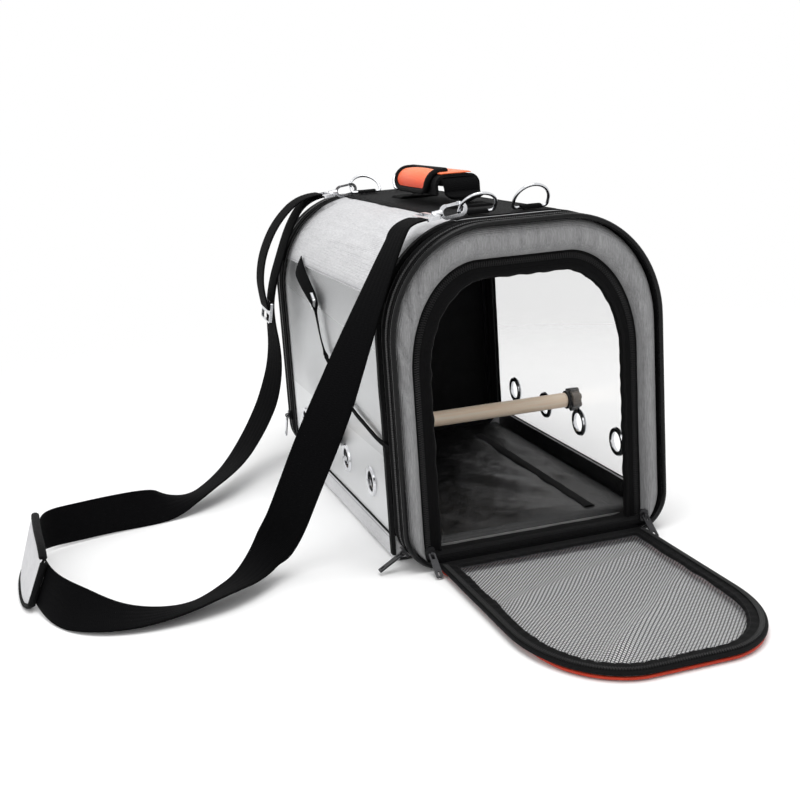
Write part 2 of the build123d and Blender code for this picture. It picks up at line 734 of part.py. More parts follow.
# Second layer of the strap, from its slide up to the rear hook.
tail_route = [
    ((-153.6, 192.6, 186.0), (0.0, -1.0, 0.0)),
    ((-156.0, 191.4, 200.0), (0.0, -1.0, 0.0)),
    ((-157.5, 189.0, 222.0), (0.0, -1.0, 0.0)),
    ((-151.0, 186.0, 252.0), (0.0, -1.0, 0.0)),
    ((-133.0, 183.0, 285.0), (0.0, -1.0, 0.0)),
    ((-103.0, 180.9, 310.6), (0.0, -1.0, 0.0)),
    ((-81.6, 180.9, 310.7), (0.0, -1.0, 0.0)),
]

tie_route = [
    ((-124.9, 117.0, 245.0), (0.0, 0.2, -1.0)),
    ((-129.0, 95.0, 239.0), (0.0, 0.25, -1.0)),
    ((-133.2, 52.0, 227.0), (0.0, 0.4, -1.0)),
    ((-134.0, 22.0, 214.0), (0.0, 0.7, -0.8)),
    ((-134.0, 5.0, 196.0), (0.0, 1.0, -0.4)),
    ((-133.6, -6.0, 172.0), (0.0, 1.0, -0.3)),
    ((-133.4, -26.0, 150.0), (0.0, 0.8, -0.7)),
    ((-133.0, -60.0, 133.0), (0.0, 0.4, -0.9)),
    ((-133.0, -100.0, 122.0), (0.0, 0.2, -1.0)),
    ((-133.0, -140.0, 118.0), (0.0, 0.1, -1.0)),
    ((-132.0, -178.0, 112.0), (0.0, 0.0, -1.0)),
    ((-129.4, -200.4, 110.5), (0.0, 0.0, -1.0)),
]


def route_planes(route, steps, first=0, last=None):
    """Planes square to a smooth route: X across the webbing, Z along it.

    The route is a chain of parabolas that touch the middles of the runs between points.
    """
    points = [Vector(*point) for point, _ in route]
    edges = [Vector(*edge) for _, edge in route]
    count = len(points) - 2
    planes = []
    for piece in range(first, count if last is None else last):
        ends = []
        for values in (points, edges):
            start = values[0] if piece == 0 else (values[piece] + values[piece + 1]) / 2
            stop = values[-1] if piece == count - 1 else (values[piece + 1] + values[piece + 2]) / 2
            ends.append((start, values[piece + 1], stop))
        final = piece == (count if last is None else last) - 1
        for step in range(steps + 1 if final else steps):
            t = step / steps
            (a, b, c), (d, e, f) = ends
            place = a * (1 - t) ** 2 + b * (2 * t * (1 - t)) + c * t ** 2
            along = (b - a) * (1 - t) + (c - b) * t
            edge = d * (1 - t) ** 2 + e * (2 * t * (1 - t)) + f * t ** 2
            across = edge - along * (edge.dot(along) / along.dot(along))
            planes.append(Plane(origin=place, x_dir=across, z_dir=along))
    return planes


def webbing(name, planes, width, thickness, side_step=0.0):
    """Flat band along the planes, moved off them by side_step."""
    with BuildPart() as ribbon:
        for plane in planes:
            with BuildSketch(plane):
                with Locations((0, side_step)):
                    Rectangle(width, thickness)
        loft(ruled=True)
    length = sum((b.origin - a.origin).length for a, b in zip(planes, planes[1:]))
    print(name, "length", round(length), "volume", round(ribbon.part.volume),
          "section times length", round(length * width * thickness))
    finish(ribbon.part, name)


strap_planes = route_planes(strap_route, 2)
webbing("shoulder_strap", strap_planes, webbing_width, webbing_thickness)
webbing("strap_tail", route_planes(tail_route, 2), webbing_width, webbing_thickness)
webbing("side_tie", route_planes(tie_route, 2), tie_width, tie_thickness)

pad_width = 60.0
pad_thickness = 7.0
pad_planes = route_planes(strap_route, 2, 15, 19)[1:]
webbing("strap_pad", pad_planes, pad_width, pad_thickness,
        webbing_thickness / 2 + cloth_gap + pad_thickness / 2)

slide_plane = route_planes(strap_route, 2, 31, 32)[1]
slide_wire = 3.0
slide_offset = webbing_thickness / 2 + cloth_gap
with BuildPart() as strap_slide:
    face = Plane(origin=slide_plane.origin, x_dir=slide_plane.x_dir, z_dir=-slide_plane.y_dir)
    with BuildSketch(face.offset(slide_offset)):
        RectangleRounded(webbing_width + 3 * slide_wire, 24.0, 3.5)
        with Locations((0, 6.2), (0, -6.2)):
            RectangleRounded(webbing_width + slide_wire, 8.0, 1.5, mode=Mode.SUBTRACT)
    extrude(amount=slide_wire)
finish(strap_slide.part, "strap_slide")

tie_plane = route_planes(tie_route, 2, 2, 3)[1]
with BuildPart() as tie_buckle:
    outwards = Vector(-1, 0, 0)
    along_tie = tie_plane.z_dir - outwards * tie_plane.z_dir.dot(outwards)
    face = Plane(origin=tie_plane.origin, x_dir=along_tie, z_dir=outwards)
    with BuildSketch(face.offset(tie_thickness / 2 + cloth_gap)):
        RectangleRounded(14.0, tie_width + 5.0, 2)
        with Locations((3.2, 0), (-3.2, 0)):
            RectangleRounded(3.6, tie_width + 1.0, 0.8, mode=Mode.SUBTRACT)
    extrude(amount=2.4)
finish(tie_buckle.part, "tie_buckle")

# Zip sliders and pulls --------------------------------------------------------------------
slider_size = (11.0, 8.0, 2.6)
lug_width = 2.2
lug_radius = 2.4
lug_hole = 2.6
lug_lift = slider_size[2] + 2.0
pull_length = 26.0
pull_width = 6.4
pull_thickness = 1.6
crossbar = 1.6


def zip_slider(seat):
    """Slider on a zip: seat has X along the zip and Z away from it."""
    with BuildPart() as slider:
        with BuildSketch(seat):
            RectangleRounded(slider_size[0], slider_size[1], 2.5)
        extrude(amount=slider_size[2])
        lug_plane = Plane(origin=seat.origin, x_dir=seat.x_dir, z_dir=-seat.y_dir)
        with BuildSketch(lug_plane.offset(-lug_width / 2)):
            with Locations((0, lug_lift)):
                Circle(lug_radius)
            with Locations((0, lug_lift / 2 + 0.5)):
                Rectangle(2 * lug_radius, lug_lift - 1)
            with Locations((0, lug_lift)):
                Circle(lug_hole / 2, mode=Mode.SUBTRACT)
        extrude(amount=lug_width)
    return slider.part


def zip_pull(name, seat, swing):
    """Pull tab on its crossbar, swung away from the zip's direction by swing degrees."""
    axis = seat.from_local_coords((0, 0, lug_lift))
    along = seat.x_dir * cos(radians(swing)) + seat.z_dir * sin(radians(swing))
    flat = Plane(origin=axis, x_dir=along, z_dir=along.cross(seat.y_dir))
    with BuildPart() as pull:
        with BuildSketch(flat.offset(-pull_thickness / 2)):
            with Locations((pull_length / 2 - crossbar / 2, 0)):
                RectangleRounded(pull_length, pull_width, 1.5)
            with Locations((crossbar / 2 + 2.5, 0)):
                RectangleRounded(5.0, lug_width + 1.0, 0.5, mode=Mode.SUBTRACT)
            with Locations((pull_length - 5.0, 0)):
                SlotOverall(4.5, 2.2, mode=Mode.SUBTRACT)
        extrude(amount=pull_thickness)
    finish(pull.part, name)


zip_row = gusset_back + 25.0 + 6.5
zip_out = gusset_outer + 2.0
zip_radius = panel_foot_radius + zip_out
front_seat_angle = radians(30.0)
front_seat = Plane(
    origin=(
        -(half_panel - panel_foot_radius) - (zip_radius + cloth_gap) * cos(front_seat_angle),
        -zip_row,
        panel_base + panel_foot_radius - (zip_radius + cloth_gap) * sin(front_seat_angle),
    ),
    x_dir=(-sin(front_seat_angle), 0, cos(front_seat_angle)),
    z_dir=(-cos(front_seat_angle), 0, -sin(front_seat_angle)),
)
rear_seat = Plane(
    origin=(-half_panel - zip_out - cloth_gap, zip_row, 48.0), x_dir=(0, 0, 1), z_dir=(-1, 0, 0)
)
door_pull_x = 106.0
door_seats = {
    "left": Plane(origin=(-door_pull_x, -panel_face + 1.0, 16.5), x_dir=(0, 0, 1), z_dir=(0, -1, 0)),
    "right": Plane(origin=(door_pull_x, -panel_face + 1.0, 16.5), x_dir=(0, 0, 1), z_dir=(0, -1, 0)),
}

finish(zip_slider(front_seat), "front_slider")
finish(zip_slider(rear_seat), "rear_slider")
with BuildPart() as door_sliders:
    for seat in door_seats.values():
        add(zip_slider(seat))
finish(door_sliders.part, "door_sliders")

front_swing = 90.0
rear_swing = 172.0
door_swing = 126.0
zip_pull("front_pull", front_seat, front_swing)
zip_pull("rear_pull", rear_seat, rear_swing)
zip_pull("door_pull_left", door_seats["left"], door_swing)
zip_pull("door_pull_right", door_seats["right"], door_swing)
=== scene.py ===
import bpy
import json
import math
from bisect import bisect
from mathutils import Matrix, Vector, noise

# Bird travel carrier: fabrics, films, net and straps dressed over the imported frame
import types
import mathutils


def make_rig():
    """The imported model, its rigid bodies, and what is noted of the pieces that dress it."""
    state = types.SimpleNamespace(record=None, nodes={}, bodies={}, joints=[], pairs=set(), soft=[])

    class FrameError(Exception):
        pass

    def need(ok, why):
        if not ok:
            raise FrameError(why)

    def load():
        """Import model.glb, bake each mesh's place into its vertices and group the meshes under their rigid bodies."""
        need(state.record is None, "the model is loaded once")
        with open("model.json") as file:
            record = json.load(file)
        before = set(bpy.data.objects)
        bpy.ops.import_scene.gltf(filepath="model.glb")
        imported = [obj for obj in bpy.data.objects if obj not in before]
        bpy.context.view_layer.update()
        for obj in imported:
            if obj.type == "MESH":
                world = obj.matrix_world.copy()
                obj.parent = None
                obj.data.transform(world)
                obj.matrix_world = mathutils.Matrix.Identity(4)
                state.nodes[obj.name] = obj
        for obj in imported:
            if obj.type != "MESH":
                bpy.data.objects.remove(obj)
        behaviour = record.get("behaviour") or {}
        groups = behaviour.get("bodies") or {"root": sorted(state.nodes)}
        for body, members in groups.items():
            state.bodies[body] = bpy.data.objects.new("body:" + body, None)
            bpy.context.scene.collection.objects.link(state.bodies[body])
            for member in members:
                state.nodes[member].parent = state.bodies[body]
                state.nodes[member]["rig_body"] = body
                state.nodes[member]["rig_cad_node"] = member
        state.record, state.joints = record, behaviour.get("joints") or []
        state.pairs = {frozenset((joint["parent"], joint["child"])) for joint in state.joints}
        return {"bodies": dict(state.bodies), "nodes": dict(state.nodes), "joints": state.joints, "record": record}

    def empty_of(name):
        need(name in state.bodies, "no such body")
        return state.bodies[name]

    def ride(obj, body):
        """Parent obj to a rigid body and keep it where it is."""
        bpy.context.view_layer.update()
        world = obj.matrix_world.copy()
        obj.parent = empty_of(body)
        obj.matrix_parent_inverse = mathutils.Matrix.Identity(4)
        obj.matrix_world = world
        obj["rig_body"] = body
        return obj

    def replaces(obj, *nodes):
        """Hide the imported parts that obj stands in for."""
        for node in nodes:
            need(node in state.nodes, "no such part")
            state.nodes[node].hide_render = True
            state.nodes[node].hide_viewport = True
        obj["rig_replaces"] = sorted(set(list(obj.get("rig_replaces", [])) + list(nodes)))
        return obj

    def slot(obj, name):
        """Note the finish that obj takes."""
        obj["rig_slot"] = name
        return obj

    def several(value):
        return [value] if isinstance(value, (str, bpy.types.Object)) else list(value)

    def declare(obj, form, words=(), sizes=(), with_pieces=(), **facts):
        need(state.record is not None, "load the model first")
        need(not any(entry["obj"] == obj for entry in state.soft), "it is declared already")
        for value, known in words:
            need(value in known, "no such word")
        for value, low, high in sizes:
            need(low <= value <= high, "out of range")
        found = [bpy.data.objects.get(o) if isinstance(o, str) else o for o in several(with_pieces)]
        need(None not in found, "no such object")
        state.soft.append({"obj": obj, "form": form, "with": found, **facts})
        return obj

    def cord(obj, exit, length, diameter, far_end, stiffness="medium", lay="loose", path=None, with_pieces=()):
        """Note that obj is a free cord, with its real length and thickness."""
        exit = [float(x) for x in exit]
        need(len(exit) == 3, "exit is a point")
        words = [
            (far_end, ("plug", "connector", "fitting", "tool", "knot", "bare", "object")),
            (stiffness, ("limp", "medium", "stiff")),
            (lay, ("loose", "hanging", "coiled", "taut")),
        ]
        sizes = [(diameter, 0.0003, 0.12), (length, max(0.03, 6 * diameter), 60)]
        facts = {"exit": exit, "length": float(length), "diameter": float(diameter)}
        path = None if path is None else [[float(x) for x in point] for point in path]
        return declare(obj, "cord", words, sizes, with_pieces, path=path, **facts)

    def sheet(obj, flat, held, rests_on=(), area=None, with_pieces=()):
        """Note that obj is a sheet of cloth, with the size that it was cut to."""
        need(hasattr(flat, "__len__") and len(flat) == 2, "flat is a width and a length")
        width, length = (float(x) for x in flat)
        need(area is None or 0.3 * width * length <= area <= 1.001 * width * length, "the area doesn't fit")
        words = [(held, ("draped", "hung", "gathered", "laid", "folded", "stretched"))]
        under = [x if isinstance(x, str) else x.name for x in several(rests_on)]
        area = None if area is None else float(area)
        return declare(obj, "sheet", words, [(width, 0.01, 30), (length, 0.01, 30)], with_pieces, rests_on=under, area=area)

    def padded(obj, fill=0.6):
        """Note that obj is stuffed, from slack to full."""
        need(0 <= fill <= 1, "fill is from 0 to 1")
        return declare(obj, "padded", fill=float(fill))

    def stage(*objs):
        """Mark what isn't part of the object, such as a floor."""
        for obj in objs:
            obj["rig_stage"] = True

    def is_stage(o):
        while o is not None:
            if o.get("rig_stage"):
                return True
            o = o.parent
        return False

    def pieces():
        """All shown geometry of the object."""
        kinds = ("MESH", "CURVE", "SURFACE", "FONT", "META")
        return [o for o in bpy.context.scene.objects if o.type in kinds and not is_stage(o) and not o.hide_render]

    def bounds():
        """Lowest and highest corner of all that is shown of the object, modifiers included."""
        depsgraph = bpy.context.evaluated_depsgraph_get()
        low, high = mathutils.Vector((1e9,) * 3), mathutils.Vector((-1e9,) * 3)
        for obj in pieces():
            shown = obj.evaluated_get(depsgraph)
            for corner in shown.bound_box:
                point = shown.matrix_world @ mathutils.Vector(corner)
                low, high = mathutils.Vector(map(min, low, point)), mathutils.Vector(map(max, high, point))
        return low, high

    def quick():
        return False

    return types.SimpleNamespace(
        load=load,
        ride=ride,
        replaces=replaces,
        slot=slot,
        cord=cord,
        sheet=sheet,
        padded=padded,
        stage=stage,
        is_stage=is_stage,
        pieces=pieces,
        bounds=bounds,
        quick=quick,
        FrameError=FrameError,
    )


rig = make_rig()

bpy.ops.object.select_all(action="SELECT")
bpy.ops.object.delete()
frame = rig.load()
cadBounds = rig.bounds()
cadNodes = frame["nodes"]
bpy.ops.object.select_all(action="DESELECT")
scene = bpy.context.scene
scene.view_settings.view_transform = "Standard"
print("frame loaded:", len(cadNodes), "nodes")

# Camera, lights and floor
camera = {
    "place": (-0.42333, -1.2233, 0.41391),
    "target": (0.005178, 0.158445, 0.068168),
    "roll": -3.896,
    "lens": 56.02,
    "shift": (-0.0132, -0.0087),
}


def placeCamera():
    bpy.ops.object.camera_add()
    eye = bpy.context.object
    eye.name = "photoCamera"
    ahead = (Vector(camera["target"]) - Vector(camera["place"])).normalized()
    right = ahead.cross(Vector((0, 0, 1))).normalized()
    up = right.cross(ahead)
    roll = math.radians(camera["roll"])
    rightTurned = right * math.cos(roll) + up * math.sin(roll)
    upTurned = up * math.cos(roll) - right * math.sin(roll)
    turn = Matrix((rightTurned, upTurned, -ahead)).transposed().to_4x4()
    eye.matrix_world = Matrix.Translation(camera["place"]) @ turn
    eye.data.lens = camera["lens"]
    eye.data.sensor_width = 36.0
    eye.data.shift_x, eye.data.shift_y = camera["shift"]
    eye.data.clip_start = 0.05
    eye.data.clip_end = 60.0
    scene.camera = eye


placeCamera()


def tint(red, green, blue):
    # screen colour, 0 to 255, as the linear colour that the shaders take
    channels = []
    for value in (red, green, blue):
        share = value / 255
        channels.append(share / 12.92 if share <= 0.04045 else ((share + 0.055) / 1.055) ** 2.4)
    return (*channels, 1.0)


studio = {"skyLight": 0.84, "key": 34.0, "fill": 6.0, "floorTone": (252, 252, 252), "floorSize": 5.0,
          "fade": (0.45, 1.15)}


def lightStudio():
    world = bpy.data.worlds.new("studioSky")
    scene.world = world
    world.use_nodes = True
    tree = world.node_tree
    tree.nodes.clear()
    output = tree.nodes.new("ShaderNodeOutputWorld")
    mix = tree.nodes.new("ShaderNodeMixShader")
    soft = tree.nodes.new("ShaderNodeBackground")
    soft.inputs["Color"].default_value = (1, 1, 1, 1)
    soft.inputs["Strength"].default_value = studio["skyLight"]
    white = tree.nodes.new("ShaderNodeBackground")
    white.inputs["Color"].default_value = (1, 1, 1, 1)
    white.inputs["Strength"].default_value = 1.0
    path = tree.nodes.new("ShaderNodeLightPath")
    seen = tree.nodes.new("ShaderNodeMath")
    seen.operation = "MAXIMUM"
    seenAll = tree.nodes.new("ShaderNodeMath")
    seenAll.operation = "MAXIMUM"
    tree.links.new(path.outputs["Is Camera Ray"], seen.inputs[0])
    tree.links.new(path.outputs["Is Glossy Ray"], seen.inputs[1])
    tree.links.new(seen.outputs[0], seenAll.inputs[0])
    tree.links.new(path.outputs["Is Transmission Ray"], seenAll.inputs[1])
    tree.links.new(seenAll.outputs[0], mix.inputs[0])
    tree.links.new(soft.outputs[0], mix.inputs[1])
    tree.links.new(white.outputs[0], mix.inputs[2])
    tree.links.new(mix.outputs[0], output.inputs["Surface"])
    for name, place, aim, size, power in (
        ("keyLight", (-0.1, -0.7, 2.5), (0, 0, 0.1), 1.8, studio["key"]),
        ("fillLight", (-2.2, -1.6, 1.6), (0, 0, 0.15), 1.6, studio["fill"]),
    ):
        bpy.ops.object.light_add(type="AREA", location=place)
        lamp = bpy.context.object
        lamp.name = name
        lamp.data.shape = "DISK"
        lamp.data.size = size
        lamp.data.energy = power
        lamp.rotation_euler = (Vector(aim) - Vector(place)).to_track_quat("-Z", "Y").to_euler()


lightStudio()


def layFloor():
    bpy.ops.mesh.primitive_plane_add(size=studio["floorSize"], location=(0, 0, -0.0004))
    floor = bpy.context.object
    floor.name = "studioFloor"
    paint = bpy.data.materials.new("floorPaint")
    paint.use_nodes = True
    shader = paint.node_tree.nodes["Principled BSDF"]
    shader.inputs["Base Color"].default_value = tint(*studio["floorTone"])
    shader.inputs["Roughness"].default_value = 0.6
    shader.inputs["Specular IOR Level"].default_value = 0.1
    where = paint.node_tree.nodes.new("ShaderNodeTexCoord")
    reach = paint.node_tree.nodes.new("ShaderNodeVectorMath")
    reach.operation = "LENGTH"
    fade = paint.node_tree.nodes.new("ShaderNodeMapRange")
    fade.interpolation_type = "SMOOTHSTEP"
    fade.inputs["From Min"].default_value, fade.inputs["From Max"].default_value = studio["fade"]
    fade.inputs["To Min"].default_value, fade.inputs["To Max"].default_value = 1.0, 0.0
    paint.node_tree.links.new(where.outputs["Object"], reach.inputs[0])
    paint.node_tree.links.new(reach.outputs["Value"], fade.inputs["Value"])
    paint.node_tree.links.new(fade.outputs["Result"], shader.inputs["Alpha"])
    floor.data.materials.append(paint)
    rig.stage(floor)


layFloor()
print("studio ready")


# Working helpers
def pick(piece):
    bpy.ops.object.select_all(action="DESELECT")
    piece.select_set(True)
    bpy.context.view_layer.objects.active = piece


def applyAll(piece):
    pick(piece)
    for modifier in list(piece.modifiers):
        bpy.ops.object.modifier_apply(modifier=modifier.name)


def smooth(piece, degrees=40):
    pick(piece)
    bpy.ops.object.shade_smooth_by_angle(angle=math.radians(degrees))


def weld(piece, inside=False, capped=True):
    pick(piece)
    bpy.ops.object.mode_set(mode="EDIT")
    bpy.ops.mesh.select_all(action="SELECT")
    bpy.ops.mesh.remove_doubles(threshold=0.00001)
    if capped:
        bpy.ops.mesh.fill_holes(sides=0)
    bpy.ops.mesh.select_all(action="SELECT")
    bpy.ops.mesh.normals_make_consistent(inside=inside)
    bpy.ops.object.mode_set(mode="OBJECT")


def shapeCloth(name, cells, size, place, closed=False, flip=False, wall=0.0, capped=True):
    # a grid laid out in u and v, with its UV map in metres
    bpy.ops.object.select_all(action="DESELECT")
    bpy.ops.mesh.primitive_grid_add(x_subdivisions=cells[0], y_subdivisions=cells[1], size=2)
    piece = bpy.context.object
    piece.name = name
    for spot in piece.data.uv_layers[0].data:
        spot.uv = (spot.uv[0] * size[0], spot.uv[1] * size[1])
    for vertex in piece.data.vertices:
        vertex.co = place((vertex.co.x + 1) / 2, (vertex.co.y + 1) / 2)
    if closed:
        weld(piece, capped=capped)
    elif flip:
        pick(piece)
        bpy.ops.object.mode_set(mode="EDIT")
        bpy.ops.mesh.select_all(action="SELECT")
        bpy.ops.mesh.flip_normals()
        bpy.ops.object.mode_set(mode="OBJECT")
    if wall:
        shell = piece.modifiers.new("wall", "SOLIDIFY")
        shell.thickness = wall
        shell.offset = -1
        applyAll(piece)
    smooth(piece)
    return piece


def dress(piece, finish, body="carrier", slot=None, replaces=()):
    piece.data.materials.clear()
    piece.data.materials.append(finish)
    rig.ride(piece, body)
    if slot:
        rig.slot(piece, slot)
    if replaces:
        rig.replaces(piece, *replaces)
    return piece


def ripple(x, y, z, scale, seed=0.0):
    return noise.noise(Vector((x * scale + seed, y * scale - seed, z * scale)))


def archSpots(half, low, high, foot, topX, topZ, steps=20):
    # arched outline, anticlockwise from the lower right corner
    spots = []
    corners = (
        (half - foot, low + foot, foot, foot, -90),
        (half - topX, high - topZ, topX, topZ, 0),
        (topX - half, high - topZ, topX, topZ, 90),
        (foot - half, low + foot, foot, foot, 180),
    )
    for x, z, reachX, reachZ, start in corners:
        for step in range(steps + 1):
            angle = math.radians(start + 90 * step / steps)
            spots.append((x + reachX * math.cos(angle), z + reachZ * math.sin(angle)))
    return spots


def follow(spots, closed=True):
    # place and outward direction along an outline, by share of its length
    line = list(spots) + ([spots[0]] if closed else [])
    runs = [0.0]
    for (ax, az), (bx, bz) in zip(line, line[1:]):
        runs.append(runs[-1] + math.hypot(bx - ax, bz - az))

    def spot(share):
        share = share % 1.0 if closed else min(max(share, 0.0), 1.0)
        reach = share * runs[-1]
        i = min(max(bisect(runs, reach) - 1, 0), len(line) - 2)
        part = (reach - runs[i]) / max(runs[i + 1] - runs[i], 1e-9)
        return (line[i][0] + (line[i + 1][0] - line[i][0]) * part,
                line[i][1] + (line[i + 1][1] - line[i][1]) * part)

    def at(share):
        x, z = spot(share)
        ax, az = spot(share - 0.003)
        bx, bz = spot(share + 0.003)
        size = max(math.hypot(bx - ax, bz - az), 1e-9)
        return x, z, (bz - az) / size, -(bx - ax) / size

    at.length = runs[-1]
    return at


def followPair(outer, inner, closed=True):
    # the same share on two outlines that have matching points
    ends = [1] if closed else []
    outerLine = list(outer) + [outer[0]] * len(ends)
    innerLine = list(inner) + [inner[0]] * len(ends)
    runs = [0.0]
    for (a, b), (c, d) in zip(zip(outerLine, outerLine[1:]), zip(innerLine, innerLine[1:])):
        outerRun = math.hypot(b[0] - a[0], b[1] - a[1])
        innerRun = math.hypot(d[0] - c[0], d[1] - c[1])
        runs.append(runs[-1] + (outerRun + innerRun) / 2)

    def at(share):
        reach = min(max(share, 0.0), 1.0) * runs[-1]
        i = min(max(bisect(runs, reach) - 1, 0), len(outerLine) - 2)
        part = (reach - runs[i]) / max(runs[i + 1] - runs[i], 1e-9)
        found = []
        for line in (outerLine, innerLine):
            found.append(Vector((line[i][0] + (line[i + 1][0] - line[i][0]) * part,
                                 line[i][1] + (line[i + 1][1] - line[i][1]) * part)))
        return found

    at.length = runs[-1]
    return at


def repeatAt(name, model, places):
    # one mesh made of a copy of the model at each place
    verts, faces = [], []
    for place in places:
        start = len(verts)
        verts += [place @ vertex.co for vertex in model.data.vertices]
        faces += [[start + i for i in face.vertices] for face in model.data.polygons]
    mesh = bpy.data.meshes.new(name)
    mesh.from_pydata(verts, [], faces)
    piece = bpy.data.objects.new(name, mesh)
    scene.collection.objects.link(piece)
    smooth(piece, 35)
    return piece


def smallModel(kind, size, bevel=0.0, segments=1):
    # source mesh of something that repeats
    bpy.ops.object.select_all(action="DESELECT")
    if kind == "block":
        bpy.ops.mesh.primitive_cube_add(size=1)
    else:
        bpy.ops.mesh.primitive_cylinder_add(vertices=8, radius=0.5, depth=1, rotation=(0, math.pi / 2, 0))
    model = bpy.context.object
    model.scale = size
    bpy.ops.object.transform_apply(location=False, rotation=True, scale=True)
    if bevel:
        bpy.ops.object.mode_set(mode="EDIT")
        bpy.ops.mesh.select_all(action="SELECT")
        bpy.ops.mesh.bevel(offset=bevel, segments=segments)
        bpy.ops.object.mode_set(mode="OBJECT")
    return model


def setAt(spot, along, outward):
    # X along, Z outward
    x = Vector(along).normalized()
    z = (Vector(outward) - x * Vector(outward).dot(x)).normalized()
    return Matrix.Translation(spot) @ Matrix((x, z.cross(x), z)).transposed().to_4x4()


def stitchRow(name, points, outward, finish, body="carrier", pitch=0.0036, thread=0.0006, slot="black_fabric"):
    # thread along a line of points: short raised stitches
    model = smallModel("block", (pitch * 0.72, thread, thread * 0.8), thread * 0.3)
    places = []
    carry = 0.0
    for a, b in zip(points, points[1:]):
        run = (b - a).length
        while carry < run:
            spot = a.lerp(b, carry / run)
            places.append(setAt(spot, b - a, outward(spot) if callable(outward) else outward))
            carry += pitch
        carry -= run
    row = repeatAt(name, model, places)
    bpy.data.objects.remove(model)
    return dress(row, finish, body, slot)


# Shader groups
def startGroup(name, inputs, outputs):
    group = bpy.data.node_groups.new(name, "ShaderNodeTree")
    for label, kind, value in inputs:
        socket = group.interface.new_socket(name=label, in_out="INPUT", socket_type=kind)
        if value is not None:
            socket.default_value = value
    for label, kind in outputs:
        group.interface.new_socket(name=label, in_out="OUTPUT", socket_type=kind)
    start = group.nodes.new("NodeGroupInput")
    end = group.nodes.new("NodeGroupOutput")
    return group, start, end


def mathNode(tree, operation, first, second=None):
    node = tree.nodes.new("ShaderNodeMath")
    node.operation = operation
    for socket, value in zip(node.inputs, (first, second)):
        if value is None:
            continue
        if isinstance(value, (int, float)):
            socket.default_value = value
        else:
            tree.links.new(value, socket)
    return node.outputs[0]


def stretched(tree, vector, scale):
    mapping = tree.nodes.new("ShaderNodeMapping")
    mapping.inputs["Scale"].default_value = scale
    tree.links.new(vector, mapping.inputs["Vector"])
    return mapping.outputs[0]


def noiseNode(tree, vector, scale, detail=3.0, roughness=0.6):
    node = tree.nodes.new("ShaderNodeTexNoise")
    node.inputs["Scale"].default_value = scale
    node.inputs["Detail"].default_value = detail
    node.inputs["Roughness"].default_value = roughness
    tree.links.new(vector, node.inputs["Vector"])
    return node.outputs["Fac"]


def buildPlainWeave():
    # threads over and under in all three directions, so it suits any side of a body
    group, start, end = startGroup(
        "plainWeave",
        [("Vector", "NodeSocketVector", None), ("Threads", "NodeSocketFloat", 1400.0)],
        [("Height", "NodeSocketFloat"), ("Fleck", "NodeSocketFloat")],
    )
    split = group.nodes.new("ShaderNodeSeparateXYZ")
    group.links.new(start.outputs["Vector"], split.inputs[0])
    total = None
    for axis in range(3):
        turned = mathNode(group, "MULTIPLY", split.outputs[axis], start.outputs["Threads"])
        thread = mathNode(group, "ABSOLUTE", mathNode(group, "SINE", turned))
        total = thread if total is None else mathNode(group, "ADD", total, thread)
    uneven = noiseNode(group, start.outputs["Vector"], 900.0, 2.0)
    group.links.new(mathNode(group, "ADD", total, uneven), end.inputs["Height"])
    group.links.new(uneven, end.inputs["Fleck"])
    return group


def buildRibbedWeave():
    # webbing: ribs across the strap, from its UV map in metres
    group, start, end = startGroup(
        "ribbedWeave",
        [("Vector", "NodeSocketVector", None), ("Ribs", "NodeSocketFloat", 3600.0)],
        [("Height", "NodeSocketFloat"), ("Fleck", "NodeSocketFloat")],
    )
    split = group.nodes.new("ShaderNodeSeparateXYZ")
    group.links.new(start.outputs["Vector"], split.inputs[0])
    along = mathNode(group, "MULTIPLY", split.outputs[0], start.outputs["Ribs"])
    across = mathNode(group, "MULTIPLY", split.outputs[1], start.outputs["Ribs"])
    half = mathNode(group, "MULTIPLY", mathNode(group, "SINE", across), 1.2)
    ribs = mathNode(group, "SINE", mathNode(group, "ADD", along, half))
    columns = mathNode(group, "ABSOLUTE", mathNode(group, "SINE", mathNode(group, "MULTIPLY", across, 0.45)))
    fuzz = noiseNode(group, start.outputs["Vector"], 1500.0, 2.0)
    body = mathNode(group, "ADD", mathNode(group, "MULTIPLY", ribs, 0.5), columns)
    group.links.new(mathNode(group, "ADD", body, fuzz), end.inputs["Height"])
    group.links.new(fuzz, end.inputs["Fleck"])
    return group


def buildStreaks():
    # heather: short streaks along one direction, set by the stretch of the vector
    group, start, end = startGroup(
        "heatherStreaks",
        [("Vector", "NodeSocketVector", None), ("Contrast", "NodeSocketFloat", 1.0)],
        [("Shade", "NodeSocketFloat")],
    )
    fine = noiseNode(group, start.outputs["Vector"], 1.0, 4.0, 0.7)
    broad = noiseNode(group, stretched(group, start.outputs["Vector"], (0.12, 0.12, 0.12)), 1.0, 2.0)
    mixed = mathNode(group, "ADD", mathNode(group, "MULTIPLY", fine, 0.7), mathNode(group, "MULTIPLY", broad, 0.3))
    centred = mathNode(group, "MULTIPLY", mathNode(group, "SUBTRACT", mixed, 0.5), start.outputs["Contrast"])
    shade = mathNode(group, "ADD", centred, 0.5)
    group.links.new(shade, end.inputs["Shade"])
    return group


plainWeave = buildPlainWeave()
ribbedWeave = buildRibbedWeave()
heatherStreaks = buildStreaks()


def startMaterial(name, roughness, specular=0.5, sheen=0.0, coat=0.0, metallic=0.0):
    paint = bpy.data.materials.new(name)
    paint.use_nodes = True
    tree = paint.node_tree
    shader = tree.nodes["Principled BSDF"]
    shader.inputs["Roughness"].default_value = roughness
    shader.inputs["Specular IOR Level"].default_value = specular
    shader.inputs["Sheen Weight"].default_value = sheen
    shader.inputs["Coat Weight"].default_value = coat
    shader.inputs["Metallic"].default_value = metallic
    where = tree.nodes.new("ShaderNodeTexCoord")
    return paint, tree, shader, where


